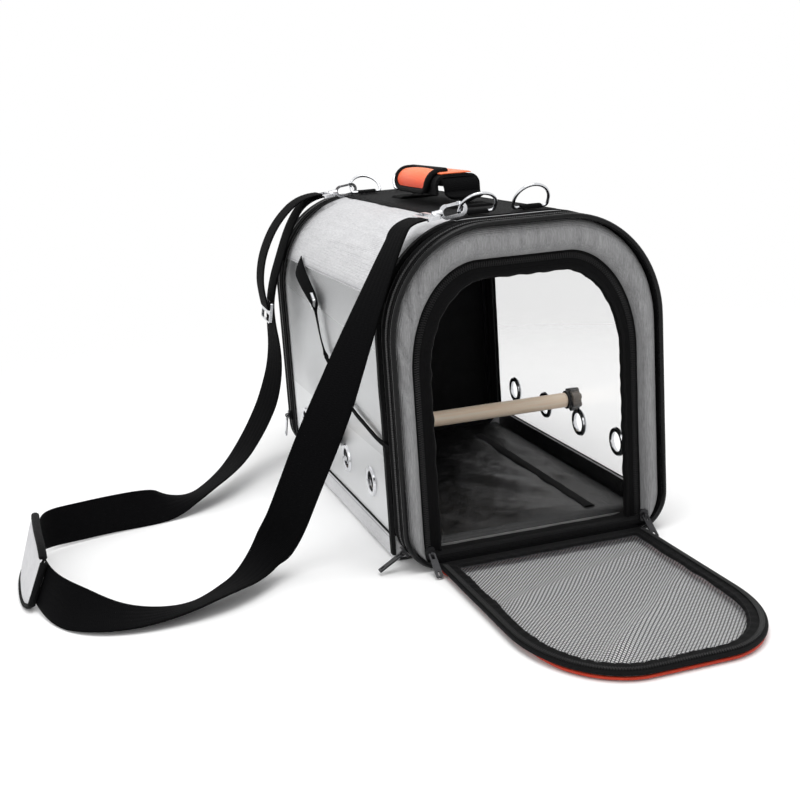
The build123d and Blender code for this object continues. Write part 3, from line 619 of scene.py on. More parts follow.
def placeGroup(tree, group, vector, **values):
    node = tree.nodes.new("ShaderNodeGroup")
    node.node_tree = group
    tree.links.new(vector, node.inputs["Vector"])
    for label, value in values.items():
        node.inputs[label].default_value = value
    return node


def bumpFrom(tree, shader, height, distance, strength=1.0):
    bump = tree.nodes.new("ShaderNodeBump")
    bump.inputs["Strength"].default_value = strength
    bump.inputs["Distance"].default_value = distance
    tree.links.new(height, bump.inputs["Height"])
    tree.links.new(bump.outputs[0], shader.inputs["Normal"])
    return bump


def rampColour(tree, shader, factor, stops, socket="Base Color"):
    ramp = tree.nodes.new("ShaderNodeValToRGB")
    ramp.color_ramp.elements[0].position, ramp.color_ramp.elements[0].color = stops[0]
    ramp.color_ramp.elements[1].position, ramp.color_ramp.elements[1].color = stops[-1]
    for position, colour in stops[1:-1]:
        ramp.color_ramp.elements.new(position).color = colour
    tree.links.new(factor, ramp.inputs[0])
    tree.links.new(ramp.outputs[0], shader.inputs[socket])
    return ramp


def wovenMaterial(name, dark, light, stretch, contrast=1.0, roughness=0.85, sheen=0.1, depth=0.00025,
                  threads=1400.0, shine=0.25):
    paint, tree, shader, where = startMaterial(name, roughness, shine, sheen)
    streaks = placeGroup(tree, heatherStreaks, stretched(tree, where.outputs["Object"], stretch), Contrast=contrast)
    rampColour(tree, shader, streaks.outputs["Shade"], [(0.2, tint(*dark)), (0.8, tint(*light))])
    weave = placeGroup(tree, plainWeave, where.outputs["Object"], Threads=threads)
    bumpFrom(tree, shader, weave.outputs["Height"], depth)
    return paint


def ribbedMaterial(name, dark, light, ribs=3600.0, roughness=0.78, depth=0.00018):
    paint, tree, shader, where = startMaterial(name, roughness, 0.04)
    weave = placeGroup(tree, ribbedWeave, where.outputs["UV"], Ribs=ribs)
    rampColour(tree, shader, weave.outputs["Fleck"], [(0.25, tint(*dark)), (0.75, tint(*light))])
    bumpFrom(tree, shader, weave.outputs["Height"], depth)
    return paint


def smoothMaterial(name, dark, light, roughness, specular=0.5, coat=0.0, metallic=0.0, scale=60.0, depth=0.0):
    paint, tree, shader, where = startMaterial(name, roughness, specular, 0.0, coat, metallic)
    clouds = noiseNode(tree, where.outputs["Object"], scale, 4.0)
    rampColour(tree, shader, clouds, [(0.3, tint(*dark)), (0.7, tint(*light))])
    low = mathNode(tree, "MULTIPLY", clouds, 0.16)
    tree.links.new(mathNode(tree, "ADD", low, max(roughness - 0.08, 0.02)), shader.inputs["Roughness"])
    if depth:
        bumpFrom(tree, shader, noiseNode(tree, where.outputs["Object"], scale * 6, 2.0), depth)
    return paint


def woodMaterial():
    paint, tree, shader, where = startMaterial("beechDowel", 0.5, 0.4, coat=0.08)
    grain = noiseNode(tree, stretched(tree, where.outputs["Object"], (14.0, 320.0, 320.0)), 1.0, 5.0, 0.6)
    flecks = noiseNode(tree, stretched(tree, where.outputs["Object"], (120.0, 1500.0, 1500.0)), 1.0, 2.0)
    mixed = mathNode(tree, "ADD", mathNode(tree, "MULTIPLY", grain, 0.75), mathNode(tree, "MULTIPLY", flecks, 0.25))
    # the beech tones are set close to white, paler than the wood, as painted light that makes up for the dim inside of
    # the carrier
    rampColour(tree, shader, mixed,
               [(0.32, tint(250, 220, 192)), (0.5, tint(255, 233, 208)), (0.68, tint(255, 242, 224))])
    bumpFrom(tree, shader, grain, 0.00015)
    return paint


def orangeMaterial():
    # glossy orange cloth, with painted shade by height: lighter at the top, darker and redder towards its lower hem
    paint, tree, shader, where = startMaterial("orangeCloth", 0.42, 0.4, 0.05)
    split = tree.nodes.new("ShaderNodeSeparateXYZ")
    tree.links.new(where.outputs["Object"], split.inputs[0])
    # painted shade: the height on the cloth sets how light or dark its orange is
    height = tree.nodes.new("ShaderNodeMapRange")
    height.inputs["From Min"].default_value, height.inputs["From Max"].default_value = 0.314, 0.340
    tree.links.new(split.outputs[2], height.inputs["Value"])
    streaks = placeGroup(tree, heatherStreaks, stretched(tree, where.outputs["Object"], (260, 260, 260)), Contrast=0.5)
    mixed = mathNode(tree, "ADD", mathNode(tree, "MULTIPLY", height.outputs["Result"], 0.7),
                     mathNode(tree, "MULTIPLY", streaks.outputs["Shade"], 0.3))
    rampColour(tree, shader, mixed, [(0.1, tint(236, 38, 14)), (0.5, tint(255, 84, 32)), (0.9, tint(255, 138, 84))])
    weave = placeGroup(tree, plainWeave, where.outputs["Object"], Threads=2600.0)
    bumpFrom(tree, shader, weave.outputs["Height"], 0.0002)
    return paint


def filmMaterial(name, mirror, paintedReflectionTop, paintedReflectionLow):
    # thin clear film: it mirrors more at a flat angle, and a painted reflection by height makes it whiter towards its
    # lower edge
    paint, tree, shader, where = startMaterial(name, 0.32, 0.5, metallic=1.0)
    shader.inputs["Base Color"].default_value = tint(246, 247, 248)
    fresnel = tree.nodes.new("ShaderNodeFresnel")
    fresnel.inputs["IOR"].default_value = 1.45
    split = tree.nodes.new("ShaderNodeSeparateXYZ")
    tree.links.new(where.outputs["Object"], split.inputs[0])
    # painted reflection: the share of mirror grows from the top of the film towards its lower edge
    paintedReflection = tree.nodes.new("ShaderNodeMapRange")
    paintedReflection.inputs["From Min"].default_value, paintedReflection.inputs["From Max"].default_value = 0.105, 0.235
    paintedReflection.inputs["To Min"].default_value, paintedReflection.inputs["To Max"].default_value = paintedReflectionLow, paintedReflectionTop
    tree.links.new(split.outputs[2], paintedReflection.inputs["Value"])
    # painted reflection, stronger below the film's lower seam line
    hem = mathNode(tree, "MULTIPLY", mathNode(tree, "LESS_THAN", split.outputs[2], 0.098), paintedReflectionLow * 0.3)
    mirrored = mathNode(tree, "MULTIPLY", fresnel.outputs[0], mirror)
    share = mathNode(tree, "ADD", mirrored, mathNode(tree, "ADD", paintedReflection.outputs["Result"], hem))
    tree.links.new(mathNode(tree, "MINIMUM", share, 0.85), shader.inputs["Alpha"])
    bumpFrom(tree, shader, noiseNode(tree, stretched(tree, where.outputs["Object"], (14.0, 5.0, 9.0)), 1.0, 1.0),
             0.004, 0.6)
    return paint


roofGrey = wovenMaterial("roofGrey", (190, 190, 192), (224, 224, 226), (700, 130, 700), 1.4, threads=2400.0)
panelGrey = wovenMaterial("panelGrey", (114, 114, 115), (164, 164, 165), (1100, 1100, 110), 1.5, threads=2400.0)
padGrey = wovenMaterial("padGrey", (196, 196, 198), (226, 226, 228), (900, 900, 900), 1.4, threads=2400.0)
skirtGrey = wovenMaterial("skirtGrey", (204, 204, 206), (234, 234, 236), (700, 130, 700), 1.4, threads=2400.0)
blackCloth = wovenMaterial("blackCloth", (8, 8, 9), (20, 20, 21), (500, 500, 500), 1.0, 0.75, 0.0, 0.0003, 2200.0, 0.12)
bindingBlack = wovenMaterial("bindingBlack", (6, 6, 7), (15, 15, 16), (700, 700, 700), 1.0, 0.7, 0.0, 0.0003, 3000.0, 0.12)
blackNylon = wovenMaterial("blackNylon", (9, 9, 10), (20, 20, 21), (300, 300, 300), 1.0, 0.27, 0.0, 0.0001, 3400.0, 0.5)
webbingBlack = ribbedMaterial("webbingBlack", (3, 3, 4), (11, 11, 12))
orangeCloth = orangeMaterial()
orangeWelt = wovenMaterial("orangeWelt", (176, 40, 20), (206, 66, 38), (400, 400, 400), 1.0, 0.55, 0.05, 0.0002, 2600.0)
netGrey = smoothMaterial("netGrey", (52, 52, 54), (76, 76, 78), 0.6, 0.2, scale=400.0)
pipingBlack = smoothMaterial("pipingBlack", (5, 5, 6), (10, 10, 11), 0.28, 0.2, scale=90.0)
zipBlack = smoothMaterial("zipBlack", (9, 9, 10), (20, 20, 21), 0.42, 0.3, scale=300.0)
threadBlack = smoothMaterial("threadBlack", (18, 18, 19), (36, 36, 37), 0.6, 0.2, scale=900.0)
threadGrey = smoothMaterial("threadGrey", (150, 150, 152), (188, 188, 190), 0.6, 0.3, scale=900.0)
chromeWire = smoothMaterial("chromeWire", (196, 197, 200), (226, 227, 230), 0.2, 0.5, metallic=1.0, scale=120.0)
darkMetal = smoothMaterial("darkMetal", (26, 26, 28), (46, 46, 48), 0.35, 0.5, metallic=0.6, scale=200.0)
knobBlack = smoothMaterial("knobBlack", (22, 22, 23), (40, 40, 42), 0.4, 0.5, scale=150.0, depth=0.0001)
boardGrey = smoothMaterial("boardGrey", (120, 120, 120), (140, 140, 140), 0.6, 0.3, scale=80.0)
beechDowel = woodMaterial()
# one film on both windows, with a strong painted reflection by height on the left and almost none on the right
clearFilm = filmMaterial("clearFilm", 0.55, 0.03, 0.36)
brightFilm = filmMaterial("brightFilm", 0.2, 0.01, 0.01)
print("materials ready")

finishes = {
    "left_window": clearFilm, "right_window": brightFilm,
    "left_eyelets": chromeWire, "right_eyelets": chromeWire,
    "perch": beechDowel, "perch_studs": chromeWire, "perch_washers": darkMetal,
    "left_knob": knobBlack, "right_knob": knobBlack, "wire_hoops": zipBlack,
    "ring_front_left": chromeWire, "ring_front_right": chromeWire,
    "ring_rear_left": chromeWire, "ring_rear_right": chromeWire,
    "front_hook": chromeWire, "front_gate": chromeWire, "rear_hook": chromeWire, "rear_gate": chromeWire,
    "strap_slide": chromeWire, "tie_buckle": chromeWire,
    "front_slider": darkMetal, "rear_slider": darkMetal, "door_sliders": darkMetal,
    "front_pull": darkMetal, "rear_pull": chromeWire,
    "door_pull_left": darkMetal, "door_pull_right": darkMetal,
    "base_board": boardGrey,
}
for name, finish in finishes.items():
    node = cadNodes[name]
    node.data.materials.clear()
    node.data.materials.append(finish)
print("rigid nodes painted")

# Straps: flat webbing along smooth routes, each point with the direction of its nearer edge
shoulderStrap = {
    "width": 0.038, "thickness": 0.0022,
    "route": [
        ((-0.0812, -0.1809, 0.3079), (0.0, -1.0, 0.0)),
        ((-0.0980, -0.1850, 0.3062), (0.0, -1.0, 0.0)),
        ((-0.1110, -0.1940, 0.2900), (0.1, -1.0, 0.0)),
        ((-0.1320, -0.1960, 0.2500), (0.3, -0.95, 0.0)),
        ((-0.1590, -0.2030, 0.2000), (0.62, -0.78, 0.0)),
        ((-0.1800, -0.2100, 0.1600), (0.85, -0.5, -0.03)),
        ((-0.2000, -0.2080, 0.1200), (0.93, -0.35, -0.08)),
        ((-0.2150, -0.1870, 0.0740), (0.95, -0.3, -0.1)),
        ((-0.2260, -0.1760, 0.0440), (0.93, -0.35, -0.12)),
        ((-0.2430, -0.1730, 0.0210), (0.8, -0.58, 0.0)),
        ((-0.2640, -0.1960, 0.0120), (0.6, -0.8, 0.1)),
        ((-0.2910, -0.2190, 0.0120), (0.15, -0.96, 0.22)),
        ((-0.3240, -0.2290, 0.0065), (-0.02, -0.97, 0.22)),
        ((-0.3660, -0.2290, 0.0065), (0.05, -0.98, -0.1)),
        ((-0.4000, -0.2160, 0.0110), (-0.15, -0.88, -0.45)),
        ((-0.4250, -0.1900, 0.0170), (-0.3, -0.4, -0.87)),
        ((-0.4380, -0.1560, 0.0230), (-0.36, 0.0, -0.93)),
        ((-0.4410, -0.1160, 0.0270), (-0.36, 0.0, -0.93)),
        ((-0.4410, -0.0680, 0.0280), (-0.33, 0.0, -0.94)),
        ((-0.4370, -0.0260, 0.0260), (-0.25, 0.0, -0.96)),
        ((-0.4250, 0.0020, 0.0225), (-0.1, -0.1, -1.0)),
        ((-0.3990, 0.0140, 0.0205), (-0.1, -0.2, -0.97)),
        ((-0.3620, 0.0240, 0.0200), (-0.05, -0.2, -0.97)),
        ((-0.3220, 0.0360, 0.0170), (0.0, -0.45, -0.9)),
        ((-0.2970, 0.0500, 0.0115), (0.03, -0.95, -0.28)),
        ((-0.2700, 0.0620, 0.0140), (0.05, -0.98, 0.14)),
        ((-0.2430, 0.0840, 0.0210), (0.15, -0.96, 0.15)),
        ((-0.2210, 0.1100, 0.0280), (0.3, -0.93, 0.15)),
        ((-0.2030, 0.1340, 0.0380), (0.38, -0.92, 0.1)),
        ((-0.1820, 0.1560, 0.0570), (0.42, -0.9, 0.05)),
        ((-0.1620, 0.1740, 0.0840), (0.4, -0.9, 0.0)),
        ((-0.1475, 0.1860, 0.1280), (0.2, -0.97, 0.0)),
        ((-0.1490, 0.1920, 0.1820), (0.0, -1.0, 0.0)),
        ((-0.1430, 0.1890, 0.2140), (0.0, -1.0, 0.0)),
        ((-0.1330, 0.1860, 0.2420), (0.0, -1.0, 0.0)),
        ((-0.1190, 0.1830, 0.2780), (0.0, -1.0, 0.0)),
        ((-0.1000, 0.1809, 0.3052), (0.0, -1.0, 0.0)),
        ((-0.0812, 0.1809, 0.3079), (0.0, -1.0, 0.0)),
    ],
}
strapTail = {
    "width": 0.038, "thickness": 0.0022,
    "route": [
        ((-0.1536, 0.1926, 0.1860), (0.0, -1.0, 0.0)),
        ((-0.1560, 0.1914, 0.2000), (0.0, -1.0, 0.0)),
        ((-0.1575, 0.1890, 0.2220), (0.0, -1.0, 0.0)),
        ((-0.1510, 0.1860, 0.2520), (0.0, -1.0, 0.0)),
        ((-0.1330, 0.1830, 0.2850), (0.0, -1.0, 0.0)),
        ((-0.1030, 0.1809, 0.3106), (0.0, -1.0, 0.0)),
        ((-0.0816, 0.1809, 0.3107), (0.0, -1.0, 0.0)),
    ],
}
sideTie = {
    "width": 0.009, "thickness": 0.0014,
    "route": [
        ((-0.1249, 0.1170, 0.2450), (-0.3, 0.5, -0.8)),
        ((-0.1310, 0.0980, 0.2390), (-0.7, -0.4, -0.6)),
        ((-0.1345, 0.0560, 0.2270), (-0.8, -0.5, -0.2)),
        ((-0.1345, 0.0240, 0.2140), (-0.7, -0.7, -0.1)),
        ((-0.1345, 0.0150, 0.1940), (-0.4, -0.9, 0.0)),
        ((-0.1338, 0.0080, 0.1730), (-0.2, -1.0, -0.2)),
        ((-0.1336, -0.0160, 0.1540), (0.0, -0.6, -0.8)),
        ((-0.1330, -0.0600, 0.1330), (0.0, 0.4, -0.9)),
        ((-0.1330, -0.1000, 0.1220), (0.0, 0.2, -1.0)),
        ((-0.1330, -0.1400, 0.1180), (0.0, 0.1, -1.0)),
        ((-0.1320, -0.1780, 0.1120), (0.0, 0.0, -1.0)),
        ((-0.1294, -0.2004, 0.1105), (0.0, 0.0, -1.0)),
    ],
}


def smoothLine(points, resolution=8):
    data = bpy.data.curves.new("routeLine", "CURVE")
    data.dimensions = "3D"
    spline = data.splines.new("NURBS")
    spline.points.add(len(points) - 1)
    for control, point in zip(spline.points, points):
        control.co = (*point, 1.0)
    spline.order_u = 3
    spline.use_endpoint_u = True
    spline.resolution_u = resolution
    curve = bpy.data.objects.new("routeLine", data)
    scene.collection.objects.link(curve)
    bpy.context.view_layer.update()
    mesh = bpy.data.meshes.new_from_object(curve)
    line = [vertex.co.copy() for vertex in mesh.vertices]
    bpy.data.objects.remove(curve)
    return line


def strapLines(strap):
    # centre line, and the directions across and off the band at each of its points
    centre = smoothLine([place for place, _ in strap["route"]])
    edge = smoothLine([Vector(place) + Vector(side).normalized() * strap["width"] / 2
                       for place, side in strap["route"]])
    frames = []
    for i, place in enumerate(centre):
        along = (centre[min(i + 1, len(centre) - 1)] - centre[max(i - 1, 0)]).normalized()
        across = edge[i] - place
        across = (across - along * across.dot(along)).normalized()
        frames.append((place, across, along.cross(across)))
    return frames


def runLength(frames):
    return sum((b[0] - a[0]).length for a, b in zip(frames, frames[1:]))


def bandOf(name, frames, width, thickness, lift=0.0, crown=0.0, around=16, squareness=0.22, widthAt=None):
    # closed band: u along the frames, v round the section
    length = runLength(frames)

    def place(u, v):
        reach = u * (len(frames) - 1)
        i = min(int(reach), len(frames) - 2)
        part = reach - i
        spot = frames[i][0].lerp(frames[i + 1][0], part)
        across = frames[i][1].lerp(frames[i + 1][1], part).normalized()
        off = frames[i][2].lerp(frames[i + 1][2], part).normalized()
        angle = 2 * math.pi * v
        c, s = math.cos(angle), math.sin(angle)
        side = math.copysign(abs(c) ** squareness, c) * (widthAt(u) if widthAt else width) / 2
        rise = math.copysign(abs(s) ** (0.5 if not crown else 0.8), s) * thickness / 2
        return spot + across * side + off * (rise + lift)

    return shapeCloth(name, (len(frames) - 1, around), (length, 2 * width), place, closed=True)


def makeStraps():
    strapFrames = strapLines(shoulderStrap)
    strap = bandOf("shoulderStrapBand", strapFrames, shoulderStrap["width"], shoulderStrap["thickness"])
    dress(strap, webbingBlack, slot="black_webbing", replaces=["shoulder_strap"])
    tailFrames = strapLines(strapTail)
    tail = bandOf("strapTailBand", tailFrames, strapTail["width"], strapTail["thickness"])
    dress(tail, webbingBlack, slot="black_webbing", replaces=["strap_tail"])
    tieFrames = strapLines(sideTie)

    def tieWidth(u):
        # from the wide tab to the narrow tape behind the buckle
        narrow = min(max((u - 0.26) / 0.05, 0), 1)
        return sideTie["width"] * (1.35 - 0.8 * narrow)

    tie = bandOf("sideTieBand", tieFrames, sideTie["width"], sideTie["thickness"], widthAt=tieWidth)
    dress(tie, webbingBlack, slot="black_webbing", replaces=["side_tie"])
    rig.cord(tie, exit=tieFrames[0][0], length=runLength(tieFrames), diameter=sideTie["width"],
            far_end="object", stiffness="limp", lay="loose", path=[f[0] for f in tieFrames],
            with_pieces=[cadNodes["tie_buckle"]])
    return strap, strapFrames, tail, tailFrames


strapBand, strapFrames, tailBand, tailFrames = makeStraps()

# Shoulder pad: grey cushion and black bound edge, on the strap's far bend
strapPad = {"first": (-0.442, -0.166, 0.028), "last": (-0.443, -0.025, 0.030), "width": 0.060, "thickness": 0.007,
            "gap": 0.0014}


def nearest(frames, place):
    return min(range(len(frames)), key=lambda i: (frames[i][0] - Vector(place)).length)


def makePad():
    first = nearest(strapFrames, strapPad["first"]) + 2
    last = nearest(strapFrames, strapPad["last"]) - 2
    frames = strapFrames[first:last + 1]
    lift = strapPad["gap"] + strapPad["thickness"] / 2


    def padWidth(u):
        return (strapPad["width"] - 0.004) * (1 - 0.30 * abs(2 * u - 1) ** 5)

    pad = bandOf("strapPadCushion", frames, strapPad["width"], strapPad["thickness"], lift, 1.0, 24, 0.45, padWidth)
    dress(pad, padGrey, slot="grey_fabric", replaces=["strap_pad"])
    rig.padded(pad, fill=0.5)
    edge = []
    for side in (1, -1):
        count = len(frames) - 1
        order = range(count + 1) if side > 0 else range(count, -1, -1)
        edge += [frames[i][0] + frames[i][1] * side * padWidth(i / count) / 2 + frames[i][2] * lift for i in order]
    binding = tubeRound("strapPadBinding", edge, 0.0026, squash=1.4)
    dress(binding, bindingBlack, slot="black_fabric")
    return pad, binding


def tubeRound(name, points, radius, squash=1.0, closed=True, around=10):
    # a soft tube through points, closed on itself or with capped ends
    count = len(points)

    def place(u, v):
        reach = u * (count if closed else count - 1)
        i = int(reach) if closed else min(int(reach), count - 2)
        part = reach - i
        a, b = points[i % count], points[(i + 1) % count]
        before, after = points[(i - 1) % count], points[(i + 2) % count]
        if not closed:
            before, after = points[max(i - 1, 0)], points[min(i + 2, count - 1)]
        along = (b - before).lerp(after - a, part).normalized()
        spot = a.lerp(b, part)
        side = along.cross(Vector((0.13, 0.31, 0.94))).normalized()
        up = side.cross(along)
        angle = 2 * math.pi * v
        return spot + side * math.cos(angle) * radius * squash + up * math.sin(angle) * radius

    length = sum((b - a).length for a, b in zip(points, points[1:]))
    steps = count if closed else count - 1
    return shapeCloth(name, (steps, around), (length, radius * 6.3), place, closed=True)


padCushion, padBinding = makePad()
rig.cord(strapBand, exit=strapFrames[0][0], length=runLength(strapFrames), diameter=shoulderStrap["width"],
        far_end="object", stiffness="medium", lay="loose", path=[f[0] for f in strapFrames],
        with_pieces=[tailBand, padCushion, padBinding, cadNodes["strap_slide"]])
print("straps ready")

# Body: roof, skirts, base, linings
body = {"half": 0.130, "top": 0.305, "cornerX": 0.092, "cornerZ": 0.100, "foot": 0.006, "long": 0.190,
        "seam": 0.240, "skirt": 0.025, "cover": 0.002, "lining": 0.184}
panel = {"half": 0.125, "low": 0.005, "top": 0.300, "foot": 0.032, "cornerX": 0.087, "cornerZ": 0.095,
         "back": 0.215, "face": 0.227, "gussetBack": 0.184, "gussetEnd": 0.226}


def panelSpots(out):
    return archSpots(panel["half"] + out, panel["low"] - out, panel["top"] + out, panel["foot"] + out,
                     panel["cornerX"] + out, panel["cornerZ"] + out)


def bodySpots(depth):
    return archSpots(body["half"] - depth, depth, body["top"] - depth, body["foot"] - depth,
                     body["cornerX"] - depth, body["cornerZ"] - depth)


def cutOutline(spots, keep):
    # the points of an outline that pass the test, in order
    kept = [spot for spot in spots if keep(*spot)]
    return kept


def roofRun(depth, seam):
    arcs = [spot for spot in bodySpots(depth) if spot[1] >= seam + 0.0005]
    half = body["half"] - depth
    rise = (seam - (body["top"] - body["cornerZ"])) / (body["cornerZ"] - depth)
    edge = half - (body["cornerX"] - depth) * (1 - math.sqrt(max(1 - rise * rise, 0)))
    return follow([(edge, seam)] + arcs + [(-edge, seam)], closed=False)


def makeRoof():
    run = roofRun(0, body["seam"])

    def place(u, v):
        x, z, outX, outZ = run(u)
        y = (v - 0.5) * 2 * body["long"]
        edge = min(u, 1 - u)
        swell = 0.0011 * ripple(x, y, z, 16, 3.0) * min(edge * 12, 1)
        swell += 0.0007 * ripple(x, y, z, 42, 8.0) * min(edge * 12, 1)
        swell -= 0.0012 * math.exp(-(edge / 0.012) ** 2)
        if abs(x) < 0.056 and z > 0.28:
            swell = min(swell, 0.0)
        swell *= min(max((body["lining"] - abs(y)) / 0.012, 0), 1)
        return Vector((x + outX * swell, y, z + outZ * swell))

    roof = shapeCloth("roofCover", (110, 96), (run.length, 2 * body["long"]), place, flip=True, wall=body["cover"])
    dress(roof, roofGrey, slot="roof_fabric", replaces=["top_cover"])
    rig.sheet(roof, flat=(run.length, 2 * body["long"]), held="stretched", rests_on=["wire_hoops"])
    inner = roofRun(0.0021, body["seam"])

    def placeLining(u, v):
        x, z, outX, outZ = inner(u)
        y = (v - 0.5) * 2 * body["lining"]
        sag = -0.0009 - 0.0009 * ripple(x, y, z, 22, 5.0)
        return Vector((x + outX * sag, y, z + outZ * sag))

    lining = shapeCloth("roofLining", (70, 60), (inner.length, 0.37), placeLining, wall=0.0006, flip=True)
    dress(lining, blackNylon, slot="black_nylon", replaces=["cover_lining"])
    for side in (-1, 1):
        x, z, outX, outZ = run(0.008 if side > 0 else 0.992)
        points = [Vector((x + outX * 0.0001, y / 100 * body["long"], z + outZ * 0.0001)) for y in range(-98, 99, 2)]
        stitchRow(f"roofHemStitches{'Right' if side > 0 else 'Left'}", points, Vector((side, 0, 0)), threadGrey,
                  slot="roof_fabric")


makeRoof()


def makeSkirts():
    # grey skirt on each side, under the film, with its rounded foot
    for side, name in ((1, "skirtRight"), (-1, "skirtLeft")):
        foot = [spot for spot in bodySpots(0)[:21]]
        line = [(x * side, z) for x, z in foot] + [(body["half"] * side, body["skirt"])]
        run = follow(line, closed=False)

        def place(u, v):
            x, z, outX, outZ = run(u)
            y = (v - 0.5) * 2 * body["long"]
            swell = 0.0009 * ripple(x, y, z, 30, side * 4.0) * min(z / 0.01, 1)
            if z > body["skirt"] - 0.001:
                swell += 0.0006
            return Vector((x + side * swell * 0.8, y, max(z, 0.0)))

        skirt = shapeCloth(name, (26, 120), (run.length, 0.38), place, flip=side > 0, wall=0.002)
        dress(skirt, skirtGrey, slot="grey_fabric", replaces=["side_skirts"])
        points = [Vector((side * (body["half"] + 0.0004), y / 100 * body["long"], body["skirt"] - 0.0035))
                  for y in range(-98, 99, 2)]
        stitchRow(f"{name}Stitches", points, Vector((side, 0, 0)), threadGrey, slot="grey_fabric")
        binding = [Vector((side * (body["half"] - 0.0002), y / 100 * body["long"], body["skirt"] + 0.0006))
                   for y in range(-100, 101, 4)]
        rim = tubeRound(f"{name}Rim", binding, 0.0011, closed=False, around=8)
        dress(rim, bindingBlack, slot="black_fabric")

    def placeBase(u, v):
        x = (u - 0.5) * 0.249
        y = (v - 0.5) * 0.380
        edge = min(u, 1 - u, v, 1 - v)
        return Vector((x, y, 0.0002 + 0.0008 * min(edge * 30, 1) * (0.5 + 0.5 * ripple(x, y, 0, 24))))

    base = shapeCloth("baseUnderside", (60, 90), (0.249, 0.380), placeBase, flip=True, wall=0.0012)
    dress(base, blackNylon, slot="black_nylon", replaces=["base_skin"])
    for side in (-1, 1):

        def placeInner(u, v):
            y = (u - 0.5) * 2 * body["lining"]
            z = 0.006 + v * 0.019
            return Vector((side * (0.1273 + 0.0004 * ripple(0, y, z, 40)), y, z))

        inner = shapeCloth(f"skirtLining{'Right' if side > 0 else 'Left'}", (80, 6), (0.368, 0.019), placeInner,
                           flip=side < 0, wall=0.0006)
        dress(inner, blackNylon, slot="black_nylon", replaces=["skirt_lining"])


makeSkirts()


def makeEndClosures():
    # cloth that joins the body's foot to the gusset, at both ends
    outer = [spot for spot in bodySpots(0.002) if spot[1] <= 0.0251]
    for end in (-1, 1):
        left = [(-0.128, 0.025)] + [s for s in bodySpots(0.002)[63:]]
        right = [s for s in bodySpots(0.002)[:21]] + [(0.128, 0.025)]
        edge = follow(left + right, closed=False)
        gusset = [s for s in panelSpots(0.003)]
        low = [s for s in gusset if s[1] < 0.026]
        leftLow = sorted([s for s in low if s[0] < 0], key=lambda s: s[0])
        rightLow = sorted([s for s in low if s[0] > 0], key=lambda s: s[0])
        inner = follow(leftLow + rightLow, closed=False)

        def place(u, v):
            ax, az, _, _ = edge(u)
            bx, bz, _, _ = inner(u)
            return Vector((ax + (bx - ax) * v, end * (0.1882 + 0.0012 * math.sin(math.pi * v)), az + (bz - az) * v))

        flap = shapeCloth(f"footClosure{'Front' if end < 0 else 'Rear'}", (90, 4), (0.3, 0.01), place,
                          flip=end > 0, wall=0.001)
        dress(flap, skirtGrey, slot="grey_fabric")


makeEndClosures()

# Floor mat: slack glossy nylon over foam, with a dark strip across it
floorMat = {"halfX": 0.1248, "halfY": 0.1828, "low": 0.0062, "top": 0.0120, "strip": (0.078, -0.020, 0.012, 0.300)}


def makeMat():
    def place(u, v):
        x = (u - 0.5) * 2 * floorMat["halfX"]
        y = (v - 0.5) * 2 * floorMat["halfY"]
        edge = min((floorMat["halfX"] - abs(x)), (floorMat["halfY"] - abs(y))) / 0.006
        z = floorMat["low"] + (floorMat["top"] - floorMat["low"]) * math.sqrt(min(max(edge, 0), 1))
        skew = x * 0.75 + y * 0.55
        fold = 0.5 + 0.5 * noise.noise(Vector((skew * 34, (y - x) * 7, 1.7)))
        fold = fold ** 2.2 * 0.0092
        fold += 0.0014 * ripple(x, y, 0, 38) + 0.0007 * ripple(x, y, 0, 90)
        slack = min(max(edge - 1, 0) / 2.5, 1)
        nearStrip = math.exp(-((x - floorMat["strip"][0]) / 0.014) ** 2)
        return Vector((x, y, z + fold * slack * (1 - 0.8 * nearStrip)))

    mat = shapeCloth("floorMatCover", (150, 210), (0.25, 0.366), place, wall=0.0008)
    dress(mat, blackNylon, slot="black_nylon", replaces=["floor_mat"])
    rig.padded(mat, fill=0.3)
    centreX, centreY, wide, long = floorMat["strip"]

    def placeStrip(u, v):
        x = centreX + (v - 0.5) * wide
        y = centreY + (u - 0.5) * long
        crown = math.sqrt(max(1 - (2 * v - 1) ** 4, 0))
        return Vector((x, y, floorMat["top"] + 0.0004 + 0.0012 * crown + 0.0004 * ripple(x, y, 0, 50)))

    strip = shapeCloth("floorMatStrip", (120, 8), (long, wide), placeStrip, flip=True, wall=0.0008)
    dress(strip, blackCloth, slot="black_fabric", replaces=["floor_strip"])


makeMat()
print("body ready")

# Black roof strip, with stitched edges
roofStrip = {"half": 0.050, "lift": 0.0002, "thickness": 0.0012}


def makeRoofStrip():
    arcs = [s for s in bodySpots(0) if s[1] > 0.29]
    run = follow(arcs, closed=False)
    full = run.length

    def place(u, v):
        share = 0.5 + (u - 0.5) * 2 * (roofStrip["half"] / full)
        x, z, outX, outZ = run(share)
        y = (v - 0.5) * 2 * body["long"]
        lift = roofStrip["thickness"] - 0.0001 + 0.0003 * ripple(x, y, z, 40, 2.0)
        return Vector((x + outX * lift, y, z + outZ * lift))

    strip = shapeCloth("roofStripBand", (40, 120), (0.1, 0.38), place, flip=True, wall=0.0011)
    dress(strip, blackCloth, slot="black_webbing", replaces=["top_strip"])
    for side in (-1, 1):
        for inset in (0.0035, 0.0075):
            x, z, outX, outZ = run(0.5 - side * ((roofStrip["half"] - inset) / full))
            points = [Vector((x + outX * 0.0013, y / 100 * body["long"], z + outZ * 0.0013))
                      for y in range(-98, 99, 2)]
            name = f"roofStripStitches{'Right' if side > 0 else 'Left'}{'Outer' if inset < 0.005 else 'Inner'}"
            stitchRow(name, points, Vector((outX, 0, outZ)), threadBlack, slot="black_webbing")


makeRoofStrip()

# Gussets with their ridge, zip tapes and coil
gusset = {"out": 0.003, "ridgeFrom": 0.201, "ridgeTo": 0.205, "ridge": 0.002, "wall": 0.0018,
          "bandFrom": 0.1838, "bandTo": 0.1926, "tapeFrom": 0.209, "tapeTo": 0.222, "coilAt": 0.2155, "pitch": 0.0021}


